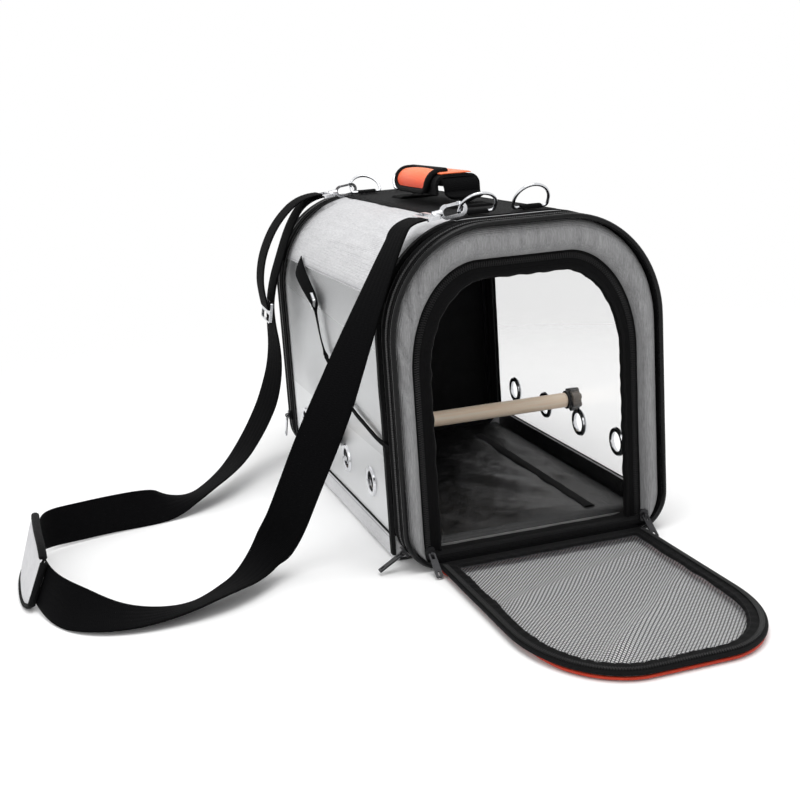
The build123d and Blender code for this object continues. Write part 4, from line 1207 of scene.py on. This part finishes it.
def makeEndBand(end, name):
    # black seam band between roof and gusset, over the roof's and film's end
    run = follow(archSpots(body["half"] + 0.0004, 0.0004, body["top"] + 0.0004, body["foot"], body["cornerX"],
                           body["cornerZ"])[20:-20], closed=False)

    def place(u, v):
        x, z, outX, outZ = run(u)
        depth = gusset["bandFrom"] + v * (gusset["bandTo"] - gusset["bandFrom"])
        swell = 0.0003 + 0.0004 * ripple(x, depth * 3, z, 34, end * 5.0)
        if abs(x) < 0.052:
            swell = -0.0009
        swell -= 0.0026 * min(max((depth - 0.1904) / 0.0016, 0), 1)
        return Vector((x + outX * swell, end * depth, z + outZ * swell))

    band = shapeCloth(name, (220, 12), (run.length, 0.014), place, flip=end > 0, wall=0.0006)
    dress(band, blackCloth, slot="black_fabric")


def makeGusset(end, name, replaced):
    run = follow(panelSpots(gusset["out"]))

    def place(u, v):
        x, z, outX, outZ = run(u)
        depth = panel["gussetBack"] + v * (panel["gussetEnd"] - panel["gussetBack"])
        swell = 0.0006 * ripple(x, depth * 3, z, 38, end * 7.0)
        middle = (gusset["ridgeFrom"] + gusset["ridgeTo"]) / 2
        swell += gusset["ridge"] * math.exp(-((depth - middle) / 0.0019) ** 4)
        if depth < gusset["ridgeFrom"] - 0.001:
            swell -= 0.0006 + 0.0008 * math.sin((depth - 0.184) / 0.016 * math.pi)
        if z < 0.004:
            swell = min(swell, 0.0)
        return Vector((x + outX * swell, end * depth, z + outZ * swell))

    band = shapeCloth(name, (280, 40), (run.length, 0.042), place, closed=True, capped=False)
    makeWall(band, gusset["wall"], end)
    dress(band, blackCloth, slot="black_fabric", replaces=[replaced])


def makeWall(piece, thickness, end):
    # the loop is open at both rims, so its normals are set outwards before the wall
    pick(piece)
    outwards = sum((p.normal.x * p.center.x + p.normal.z * (p.center.z - 0.15)) for p in piece.data.polygons)
    if outwards < 0:
        bpy.ops.object.mode_set(mode="EDIT")
        bpy.ops.mesh.select_all(action="SELECT")
        bpy.ops.mesh.flip_normals()
        bpy.ops.object.mode_set(mode="OBJECT")
    shell = piece.modifiers.new("wall", "SOLIDIFY")
    shell.thickness = thickness
    shell.offset = -1
    applyAll(piece)
    smooth(piece)


def makeGussetZip(end, name, replaced):
    lift = gusset["out"] + 0.0009
    run = follow(panelSpots(lift))

    def place(u, v):
        x, z, outX, outZ = run(u)
        depth = gusset["tapeFrom"] + v * (gusset["tapeTo"] - gusset["tapeFrom"])
        groove = 0.0005 * math.exp(-((depth - gusset["coilAt"]) / 0.0028) ** 2)
        wave = 0.0002 * math.sin(u * 900) * math.exp(-((depth - gusset["tapeFrom"]) / 0.002) ** 2)
        lifted = wave - groove
        return Vector((x + outX * lifted, end * depth, z + outZ * lifted))

    tape = shapeCloth(f"{name}Tapes", (300, 16), (run.length, 0.013), place, closed=True, capped=False)
    makeWall(tape, 0.0009, end)
    dress(tape, bindingBlack, slot="zip", replaces=[replaced])
    tooth = smallModel("block", (0.0012, 0.0034, 0.0015), 0.0004)
    places = []
    count = int(run.length / gusset["pitch"]) * 2
    for i in range(count):
        x, z, outX, outZ = run(i / count)
        side = 1 if i % 2 else -1
        spot = Vector((x + outX * 0.0004, end * (gusset["coilAt"] + side * 0.0011), z + outZ * 0.0004))
        places.append(setAt(spot, Vector((-outZ, 0, outX)), Vector((outX, 0, outZ))))
    coil = repeatAt(f"{name}Coil", tooth, places)
    bpy.data.objects.remove(tooth)
    dress(coil, zipBlack, slot="zip")


def makePiping(end, name, replaced):
    run = follow(panelSpots(0.0026))

    def place(u, v):
        x, z, outX, outZ = run(u)
        angle = 2 * math.pi * v
        reach = 0.0024 * (1 + 0.03 * ripple(x, 0, z, 60))
        out = reach * math.cos(angle)
        return Vector((x + outX * out, end * (0.2281 + reach * math.sin(angle)), z + outZ * out))

    cord = shapeCloth(name, (300, 14), (run.length, 0.0157), place, closed=True, capped=False)
    dress(cord, pipingBlack, slot="piping", replaces=[replaced])


for end, label in ((-1, "front"), (1, "rear")):
    makeEndBand(end, f"{label}EndBand")
    makeGusset(end, f"{label}GussetBand", f"{label}_gusset")
    makeGussetZip(end, f"{label}Zip", f"{label}_zip")
    makePiping(end, f"{label}PipingCord", f"{label}_piping")
print("gussets ready")

# Padded door end: fabric over foam, its puff shaped by a crown profile
frontPad = {"outline": 0.0008, "thickness": 0.012, "pressure": 4.0, "cap": 0.004}
opening = {"half": 0.1085, "top": 0.271, "cornerX": 0.066, "cornerZ": 0.095, "sill": 0.014, "border": 0.0175}


def frontPairs():
    # matching points of the pad's outer and inner outlines, right foot to left foot
    out = frontPad["outline"]
    half, footR = panel["half"] + out, panel["foot"] + out
    cx, cz = half - footR, panel["low"] - out + footR
    outer, inner = [], []
    start = -math.acos((opening["half"] - cx) / footR)
    for step in range(9):
        angle = start * (1 - step / 8)
        outer.append((cx + footR * math.cos(angle), cz + footR * math.sin(angle)))
        inner.append((opening["half"], outer[-1][1]))
    springOut = panel["top"] - panel["cornerZ"]
    springIn = opening["top"] - opening["cornerZ"]
    for step in range(1, 15):
        t = step / 14
        outer.append((half, cz + (springOut - cz) * t))
        inner.append((opening["half"], cz + (springIn - cz) * t))
    ox, oz = panel["cornerX"] + out, panel["cornerZ"] + out
    for step in range(1, 25):
        angle = math.radians(90 * step / 24)
        outer.append((half - ox + ox * math.cos(angle), springOut + oz * math.sin(angle)))
        inner.append((opening["half"] - opening["cornerX"] * (1 - math.cos(angle)),
                      springIn + opening["cornerZ"] * math.sin(angle)))
    outer += [(-x, z) for x, z in reversed(outer)]
    inner += [(-x, z) for x, z in reversed(inner)]
    return outer, inner


def padCrown(w):
    return (1 - abs(2 * w - 1) ** 2.4) ** 0.6


def makeFrontPanel():
    outer, inner = frontPairs()
    run = followPair(outer, inner, closed=False)

    def place(u, v):
        a, b = run(u)
        if v < 0.7:
            w = v / 0.7
            spot = a.lerp(b, w)
            rise = frontPad["thickness"] * padCrown(w)
            pinch = 0.0
            for at, deep, wide in ((0.655, 0.0046, 0.009), (0.685, 0.0036, 0.007), (0.622, 0.0028, 0.010),
                                   (0.735, 0.0030, 0.009), (0.78, 0.0016, 0.012), (0.34, 0.0020, 0.012),
                                   (0.30, 0.0014, 0.008)):
                lean = at + (w - 0.5) * 0.02
                pinch += deep * math.exp(-((u - lean) / wide) ** 2)
            rise -= pinch * math.sin(math.pi * w)
            rise += 0.0008 * ripple(spot[0], 0, spot[1], 26, 6.0) * math.sin(math.pi * w)
        else:
            w = 1 - (v - 0.7) / 0.3
            spot = a.lerp(b, w)
            rise = 0.0
        return Vector((spot[0], -(panel["back"] + 0.0002 + rise), spot[1]))

    pad = shapeCloth("frontPanelPad", (230, 34), (run.length, 0.06), place, closed=True)
    dress(pad, panelGrey, slot="grey_fabric", replaces=["front_panel"])
    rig.padded(pad, fill=0.7)
    return pad


frontPadPiece = makeFrontPanel()


def makeSurround():
    # black zip border of the opening, its inner edge gathered and wavy
    out, low = opening["border"], opening["sill"]
    outer = [s for s in archSpots(opening["half"] + 0.003, low, opening["top"] + 0.003, 0.0005,
                                  opening["cornerX"] + 0.0018, opening["cornerZ"] + 0.0024)]
    inner = [s for s in archSpots(opening["half"] - out, low, opening["top"] - out, 0.0005,
                                  opening["cornerX"] - out * 0.6, opening["cornerZ"] - out * 0.8)]
    outer, inner = outer[20:-20], inner[20:-20]
    run = followPair(outer, inner, closed=False)

    def place(u, v):
        a, b = run(u)
        face = v < 0.6
        w = v / 0.6 if face else 1 - (v - 0.6) / 0.4
        wavy = 0.0011 * math.sin(u * 150) * ripple(u, 0, 0, 25) + 0.0008 * ripple(u, 1, 0, 60)
        spot = a.lerp(b, w + wavy / 0.0175 * w * w)
        roll = 0.0042 * math.exp(-((w - 0.86) / 0.13) ** 2) + 0.0012
        lift = (roll + 0.0004 * ripple(spot[0], 0, spot[1], 50)) * min(w * 14, (1 - w) * 20, 1) if face else 0.0
        return Vector((spot[0], -(0.2152 + lift), spot[1]))

    border = shapeCloth("doorwayBorder", (300, 26), (run.length, 0.04), place, closed=True)
    dress(border, bindingBlack, slot="black_fabric", replaces=["door_surround"])
    tooth = smallModel("block", (0.0012, 0.0030, 0.0014), 0.0004)
    places = []
    count = int(run.length / 0.0021) * 2
    for i in range(count):
        a, b = run(i / count)
        c, d = run(i / count + 0.002)
        spot = a.lerp(b, 0.34 + (0.05 if i % 2 else -0.05))
        along = Vector((c[0] - a[0], 0, c[1] - a[1]))
        if along.length < 1e-6:
            along = Vector((0, 0, -1))
        places.append(setAt(Vector((spot[0], -0.2166, spot[1])), along, Vector((0, -1, 0))))
    coil = repeatAt("doorwayCoil", tooth, places)
    bpy.data.objects.remove(tooth)
    dress(coil, zipBlack, slot="zip")

    def placeSill(u, v):
        x = (u - 0.5) * 2 * (opening["half"] - 0.0005)
        angle = 2 * math.pi * v
        c, s = math.cos(angle), math.sin(angle)
        y = 0.2205 + 0.0052 * math.copysign(abs(c) ** 0.6, c)
        z = 0.0092 + 0.0046 * math.copysign(abs(s) ** 0.6, s)
        lift = 0.0006 * ripple(x, y, z, 60)
        if abs(x) > 0.094 and z < 0.008:
            z = 0.008
        return Vector((x, -y, z + lift))

    sill = shapeCloth("doorSillRoll", (120, 20), (0.217, 0.04), placeSill, closed=True)
    dress(sill, blackCloth, slot="black_fabric", replaces=["door_sill"])


makeSurround()
print("door end ready")

# Net door, lying open on the floor
door = {"half": 0.102, "long": 0.266, "cornerX": 0.070, "cornerZ": 0.104, "binding": 0.015, "start": -0.2324,
        "top": 0.0084, "thick": 0.0042, "netPitch": 0.0029, "netWire": 0.00042}


def doorSpots(inset, foot=0.003):
    return archSpots(door["half"] - inset, inset, door["long"] - inset, foot, door["cornerX"] - inset * 0.8,
                     door["cornerZ"] - inset * 0.9)


def doorSwell(x, d):
    # slack folds of the net between its bindings
    inside = min(max((door["half"] - 0.014 - abs(x)) / 0.03, 0), 1) * min(max((d - 0.014) / 0.03, 0), 1)
    inside *= min(max((door["long"] - 0.014 - d) / 0.03, 0), 1)
    ridge = 0.0056 * math.exp(-((d - 0.075 + 0.35 * (x - 0.02)) / 0.010) ** 2)
    ridge += 0.0046 * math.exp(-((d - 0.125 + 0.9 * (x - 0.07)) / 0.012) ** 2)
    return inside * (ridge + 0.0022 * ripple(x, d, 0, 18, 4.0) - 0.0012)


def makeDoor():
    outer = doorSpots(0.0)
    inner = doorSpots(door["binding"])
    run = followPair(outer, inner)

    def place(u, v):
        a, b = run(u)
        angle = 2 * math.pi * v
        c, s = math.cos(angle), math.sin(angle)
        w = 0.5 - 0.5 * math.copysign(abs(c) ** 0.55, c)
        wavy = 0.0012 * ripple(a[0], a[1], 0, 45) * w * w
        spot = a.lerp(b, w + wavy / 0.015)
        pucker = 0.0005 * math.sin(u * 420) * w
        z = door["top"] - door["thick"] / 2 + (door["thick"] / 2 - 0.0002) * math.copysign(abs(s) ** 0.5, s)
        groove = 0.0008 * math.exp(-((w - 0.42) / 0.05) ** 2) if s > 0 else 0.0
        return Vector((spot[0], door["start"] - spot[1], z + (pucker - groove if s > 0 else 0)))

    rim = shapeCloth("doorBinding", (320, 24), (run.length, 0.036), place, closed=True, capped=False)
    dress(rim, bindingBlack, "door", "black_fabric", ["door_frame"])
    for name, inset in (("doorBindingStitches", 0.0128),):
        line = follow(doorSpots(inset))
        points = []
        for i in range(401):
            x, d, _, _ = line(i / 400)
            points.append(Vector((x, door["start"] - d, door["top"] + 0.0001)))
        stitchRow(name, points, Vector((0, 0, 1)), threadBlack, "door")

    bpy.ops.object.select_all(action="DESELECT")
    count = int(0.30 / door["netPitch"] * 1.42)
    bpy.ops.mesh.primitive_grid_add(x_subdivisions=count, y_subdivisions=count, size=0.42)
    net = bpy.context.object
    net.name = "doorNet"
    turn = Matrix.Rotation(math.radians(45), 4, "Z")
    for vertex in net.data.vertices:
        spot = turn @ vertex.co
        vertex.co = (spot.x * 0.86, spot.y + 0.133, 0)
    hole = doorSpots(door["binding"] - 0.004)
    pick(net)
    bpy.ops.object.mode_set(mode="EDIT")
    bpy.ops.mesh.select_all(action="DESELECT")
    bpy.ops.object.mode_set(mode="OBJECT")
    for vertex in net.data.vertices:
        vertex.select = not insideOutline(vertex.co.x, vertex.co.y, hole)
    bpy.ops.object.mode_set(mode="EDIT")
    bpy.ops.mesh.delete(type="VERT")
    bpy.ops.object.mode_set(mode="OBJECT")
    for vertex in net.data.vertices:
        x, d = vertex.co.x, vertex.co.y
        vertex.co = (x, door["start"] - d, 0.0062 + doorSwell(x, d))
    pick(net)
    bpy.ops.object.mode_set(mode="EDIT")
    bpy.ops.mesh.select_mode(type="FACE")
    bpy.ops.mesh.select_all(action="SELECT")
    bpy.ops.mesh.normals_make_consistent(inside=False)
    bpy.ops.mesh.inset(thickness=door["netWire"], use_individual=True)
    bpy.ops.mesh.delete(type="FACE")
    bpy.ops.mesh.select_mode(type="VERT")
    bpy.ops.object.mode_set(mode="OBJECT")
    dress(net, netGrey, "door", "net", ["door_mesh"])
    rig.sheet(net, flat=(0.182, 0.244), held="stretched", rests_on=[rim], area=0.0218)

    line = follow(doorSpots(0.0028))

    def placeWelt(u, v):
        x, d, outX, outD = line(u)
        angle = 2 * math.pi * v
        reach = 0.0014
        tuck = 0.0050 * min(max((0.225 - d) / 0.05, 0), 1) * min(max((d - 0.012) / 0.02, 0), 1)
        out = reach * math.cos(angle) - tuck
        return Vector((x + outX * out, door["start"] - d - outD * out, 0.0021 + reach * math.sin(angle)))

    welt = shapeCloth("doorWelt", (260, 12), (line.length, 0.012), placeWelt, closed=True, capped=False)
    dress(welt, orangeWelt, "door", "orange_fabric", ["door_piping"])
    tooth = smallModel("block", (0.0012, 0.0026, 0.0012), 0.0003)
    places = []
    chain = follow([s for s in doorSpots(0.0045)][20:-20], closed=False)
    count = int(chain.length / 0.0021) * 2
    for i in range(count):
        x, d, outX, outD = chain(i / count)
        side = 0.0009 if i % 2 else -0.0009
        spot = Vector((x + outX * side, door["start"] - d - outD * side, door["top"] + 0.0003))
        places.append(setAt(spot, Vector((-outD, -outX, 0)), Vector((0, 0, 1))))
    coil = repeatAt("doorCoil", tooth, places)
    bpy.data.objects.remove(tooth)
    dress(coil, zipBlack, "door", "zip", ["door_zip"])

    def placeTape(u, v):
        x = (u - 0.5) * 0.198
        y = -0.2262 - v * 0.0058
        return Vector((x, y, door["top"] - 0.0002 + 0.0004 * ripple(x, y, 0, 80) - 0.0006 * math.sin(math.pi * v)))

    tape = shapeCloth("doorHingeTape", (90, 8), (0.198, 0.006), placeTape, flip=True, wall=0.0009)
    dress(tape, webbingBlack, slot="black_webbing", replaces=["door_hinge_tape"])


def insideOutline(x, z, spots):
    inside = False
    for (ax, az), (bx, bz) in zip(spots, spots[1:] + spots[:1]):
        if (az > z) != (bz > z) and x < (bx - ax) * (z - az) / (bz - az) + ax:
            inside = not inside
    return inside


makeDoor()
print("door ready")

# Rear end: padded panel and its lining
rearPanel = {"outline": 0.0, "thickness": 0.0118, "voxel": 0.005, "pressure": 4.0, "cap": 0.005}


def puff(piece, settings, keepInside):
    # fabric over foam: a short cloth run under pressure, each point's travel capped
    pick(piece)
    rest = [vertex.co.copy() for vertex in piece.data.vertices]
    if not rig.quick():
        cloth = piece.modifiers.new("puff", "CLOTH")
        cloth.settings.use_pressure = True
        cloth.settings.uniform_pressure_force = settings["pressure"]
        cloth.settings.effector_weights.gravity = 0
        for step in range(1, 21):
            scene.frame_set(step)
        applyAll(piece)
        scene.frame_set(1)
    for vertex, start in zip(piece.data.vertices, rest):
        travel = vertex.co - start
        if travel.length > settings["cap"]:
            vertex.co = start + travel.normalized() * settings["cap"]
        vertex.co = keepInside(vertex.co)


def makeRearPanel():
    bpy.ops.object.select_all(action="DESELECT")
    copy = cadNodes["rear_panel"].copy()
    copy.data = copy.data.copy()
    scene.collection.objects.link(copy)
    copy.parent = None
    copy.name = "rearPanelPad"
    for key in list(copy.keys()):
        del copy[key]
    weld(copy, capped=False)
    centre = Vector((0, 0.221, 0.1525))
    for vertex in copy.data.vertices:
        away = vertex.co - centre
        vertex.co = centre + Vector((away.x * 0.985, away.y * 0.7, away.z * 0.985))
    remesh = copy.modifiers.new("remesh", "REMESH")
    remesh.mode = "VOXEL"
    remesh.voxel_size = rearPanel["voxel"]
    applyAll(copy)
    puff(copy, rearPanel, lambda spot: Vector((min(max(spot.x, -0.125), 0.125), min(max(spot.y, 0.2152), 0.2276),
                                               max(spot.z, 0.0045))))
    finer = copy.modifiers.new("finer", "SUBSURF")
    finer.levels = finer.render_levels = 1
    applyAll(copy)
    for vertex in copy.data.vertices:
        if vertex.co.y > 0.219:
            vertex.co.y += 0.0006 * ripple(vertex.co.x, 0, vertex.co.z, 30, 9.0)
    smooth(copy)
    dress(copy, panelGrey, "rear_end", "grey_fabric", ["rear_panel"])
    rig.padded(copy, fill=0.6)

    def placeLining(u, v):
        x = (u - 0.5) * 2
        z = v
        half = 0.1258
        low, top = 0.0055, 0.2992
        height = low + (top - low) * z
        reach = half
        springZ = panel["top"] - panel["cornerZ"]
        if height > springZ:
            rise = min((height - springZ) / (panel["cornerZ"] + 0.0003), 1)
            reach = half - (panel["cornerX"] + 0.0003) * (1 - math.sqrt(max(1 - rise * rise, 0)))
        if height < 0.037:
            drop = min((0.037 - height) / 0.0325, 1)
            reach = half - 0.0325 * (1 - math.sqrt(max(1 - drop * drop, 0)))
        px = x * reach * 0.995
        fold = 0.0012 * ripple(px, 0, height, 14, 3.0) + 0.0007 * ripple(px * 2, 0, height * 0.6, 40)
        return Vector((px, 0.2141 - 0.0008 - fold * 0.6, height))

    lining = shapeCloth("rearLiningSheet", (90, 110), (0.25, 0.295), placeLining, wall=0.0005)
    dress(lining, blackCloth, "rear_end", "black_nylon", ["rear_lining"])


makeRearPanel()
print("rear end ready")

# Handle: webbing band, orange wrap with its bound flap, feet and ring loops
handle = {"front": -0.086, "rear": 0.078, "lean": 0.014, "base": 0.3085, "top": 0.3325, "half": 0.018, "thick": 0.004,
          "stripTop": 0.3062, "wrapFrom": -0.061, "wrapTo": 0.060, "wrapHalf": 0.0250, "wrapTop": 0.3372,
          "wrapLow": 0.3170}


def handleLine():
    # centre of the band from the front foot over the top to the rear foot
    front, rear, base, top = handle["front"], handle["rear"], handle["base"], handle["top"] - 0.002
    points = [(front, base + 0.0005), (front, base + 0.006)]
    for step in range(11):
        angle = math.radians(180 - 9 * step)
        points.append((front + handle["lean"] + 0.012 + 0.012 * math.cos(angle), top - 0.012 + 0.012 * math.sin(angle)))
    for step in range(11):
        angle = math.radians(90 - 9 * step)
        points.append((rear - 0.017 + 0.017 * math.cos(angle), top - 0.017 + 0.017 * math.sin(angle)))
    points += [(rear, base + 0.006), (rear, base + 0.0005)]
    return follow(points, closed=False)


def makeHandle():
    run = handleLine()

    def place(u, v):
        y, z, outY, outZ = run(u)
        angle = 2 * math.pi * v
        c, s = math.cos(angle), math.sin(angle)
        x = handle["half"] * math.copysign(abs(c) ** 0.3, c)
        rise = (handle["thick"] / 2 - 0.0001) * math.copysign(abs(s) ** 0.5, s)
        if z < handle["base"] + 0.012:
            z = max(z, handle["base"] + 0.0008 + abs(x) * math.tan(math.radians(22)))
        return Vector((x, y - outY * rise, z - outZ * rise))

    band = shapeCloth("handleBand", (150, 20), (run.length, 0.08), place, closed=True)
    dress(band, webbingBlack, "handle", "black_webbing", ["handle_strap"])
    for number, at in (("Front", handle["front"]), ("Rear", handle["rear"])):

        def placeFoot(u, v):
            x = (u - 0.5) * 0.043
            y = at + (v - 0.5) * 0.035
            edge = min(u, 1 - u, v, 1 - v)
            rise = 0.0019 * min((edge * 16) ** 0.5, 1) + 0.0002 * ripple(x, y, 0, 90)
            return Vector((x, y, handle["stripTop"] + min(rise, 0.0021)))

        foot = shapeCloth(f"handleFoot{number}", (30, 26), (0.043, 0.035), placeFoot, wall=0.0012)
        dress(foot, webbingBlack, slot="black_webbing", replaces=["handle_feet"])
        box = [Vector((x, at + y, handle["stripTop"] + 0.0021)) for x, y in
               ((-0.018, -0.0145), (0.018, -0.0145), (0.018, 0.0145), (-0.018, 0.0145), (-0.018, -0.0145),
                (0.018, 0.0145))]
        stitchRow(f"handleFootStitches{number}", box, Vector((0, 0, 1)), threadBlack, slot="black_webbing")


makeHandle()


def wrapSection(share, drop):
    # across the wrap, from the bottom of its left side over the top to the right side
    half, top, low = handle["wrapHalf"], handle["wrapTop"], handle["wrapLow"] + drop
    points = [(-half, low)]
    for step in range(9):
        angle = math.radians(180 - 11.25 * step)
        points.append((-half + 0.012 + 0.012 * math.cos(angle), top - 0.012 + 0.012 * math.sin(angle)))
    for step in range(9):
        angle = math.radians(90 - 11.25 * step)
        points.append((half - 0.012 + 0.012 * math.cos(angle), top - 0.012 + 0.012 * math.sin(angle)))
    points.append((half, low))
    return follow(points, closed=False)(share)


def makeWrap():
    def placeBody(u, v):
        x, z, outX, outZ = wrapSection(u, 0.0)
        y = handle["wrapFrom"] + v * (handle["wrapTo"] - handle["wrapFrom"])
        swell = 0.0008 * ripple(x, y, z, 40) - 0.0016
        return Vector((x - outX * swell, y, z - outZ * swell))

    core = shapeCloth("handleWrapCore", (60, 60), (0.1, 0.118), placeBody, wall=0.0030)
    dress(core, blackCloth, "handle", "black_fabric", ["handle_wrap"])

    def placeTop(u, v):
        x, z, outX, outZ = wrapSection(0.30 + 0.40 * u, 0.0)
        y = handle["wrapFrom"] + 0.003 + v * (handle["wrapTo"] - handle["wrapFrom"] - 0.006)
        edge = min(u, 1 - u, v, 1 - v)
        lift = 0.0007 * min((edge * 20) ** 0.5, 1)
        return Vector((x - outX * lift, y, z - outZ * lift))

    cap = shapeCloth("handleWrapTop", (30, 50), (0.05, 0.112), placeTop, wall=0.0008)
    dress(cap, orangeCloth, "handle", "orange_fabric")

    flapFrom, flapTo = -0.044, 0.056

    def flapSpot(u, v):
        # u down the side from the top, v along the handle; the lower corners are rounded
        drop = 0.42 - 0.385 * u
        x, z, outX, outZ = wrapSection(drop, 0.0)
        corner = max(u - 0.55, 0) / 0.45
        narrow = 0.30 * (1 - math.sqrt(max(1 - corner ** 2.2, 0)))
        middle = (flapFrom + flapTo) / 2 - 0.004 * u
        y = middle + (v - 0.5) * (flapTo - flapFrom) * (1 - narrow)
        lift = 0.0017 + 0.0030 * math.sin(math.pi * u) * math.sin(math.pi * v) + 0.0008 * u * u
        return Vector((x - outX * lift, y, z - outZ * lift))

    flap = shapeCloth("handleWrapFlap", (44, 40), (0.045, 0.069), flapSpot, flip=True, wall=0.0014)
    dress(flap, orangeCloth, "handle", "orange_fabric")
    rim = [flapSpot(0.0, i / 14) for i in range(14)] + [flapSpot(i / 20, 1.0) for i in range(20)]
    rim += [flapSpot(1.0, 1 - i / 14) for i in range(14)] + [flapSpot(1 - i / 20, 0.0) for i in range(20)]
    binding = tubeRound("handleFlapBinding", rim, 0.0030, 1.0, True, 12)
    dress(binding, bindingBlack, "handle", "black_fabric")


makeWrap()

ringLoops = {"width": 0.0196, "half": 0.0073, "rise": 0.0049, "row": 0.176, "spacing": 0.026}


def makeRingLoops():
    for row, rowName in ((-1, "Front"), (1, "Rear")):
        for side, sideName in ((-1, "Left"), (1, "Right")):

            def place(u, v):
                x = side * ringLoops["spacing"] + (v - 0.5) * ringLoops["width"]
                d = (u - 0.5) * 2
                y = row * ringLoops["row"] + d * ringLoops["half"]
                hump = math.sqrt(max(1 - abs(d) ** 2.4, 0))
                z = handle["stripTop"] + 0.0003 + ringLoops["rise"] * (0.25 + 0.72 * hump)
                return Vector((x, y, z + 0.0001 * ripple(x, y, 0, 120)))

            loop = shapeCloth(f"ringLoop{rowName}{sideName}", (24, 16), (0.018, ringLoops["width"]), place, flip=True,
                              wall=0.0012)
            dress(loop, webbingBlack, slot="black_webbing", replaces=["ring_loops"])
            seam = [Vector((side * ringLoops["spacing"] + x, row * (ringLoops["row"] - 0.0052),
                            handle["stripTop"] + 0.0040)) for x in (-0.008, 0.008)]
            stitchRow(f"ringLoopStitches{rowName}{sideName}", seam, Vector((0, 0, 1)), threadBlack,
                      slot="black_webbing")


makeRingLoops()
print("handle and rings ready")

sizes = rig.bounds()
with open("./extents.json", "w") as sizeFile:
    json.dump({"cad": [list(corner) for corner in cadBounds], "visual": [list(corner) for corner in sizes]}, sizeFile)
print("sizes written")
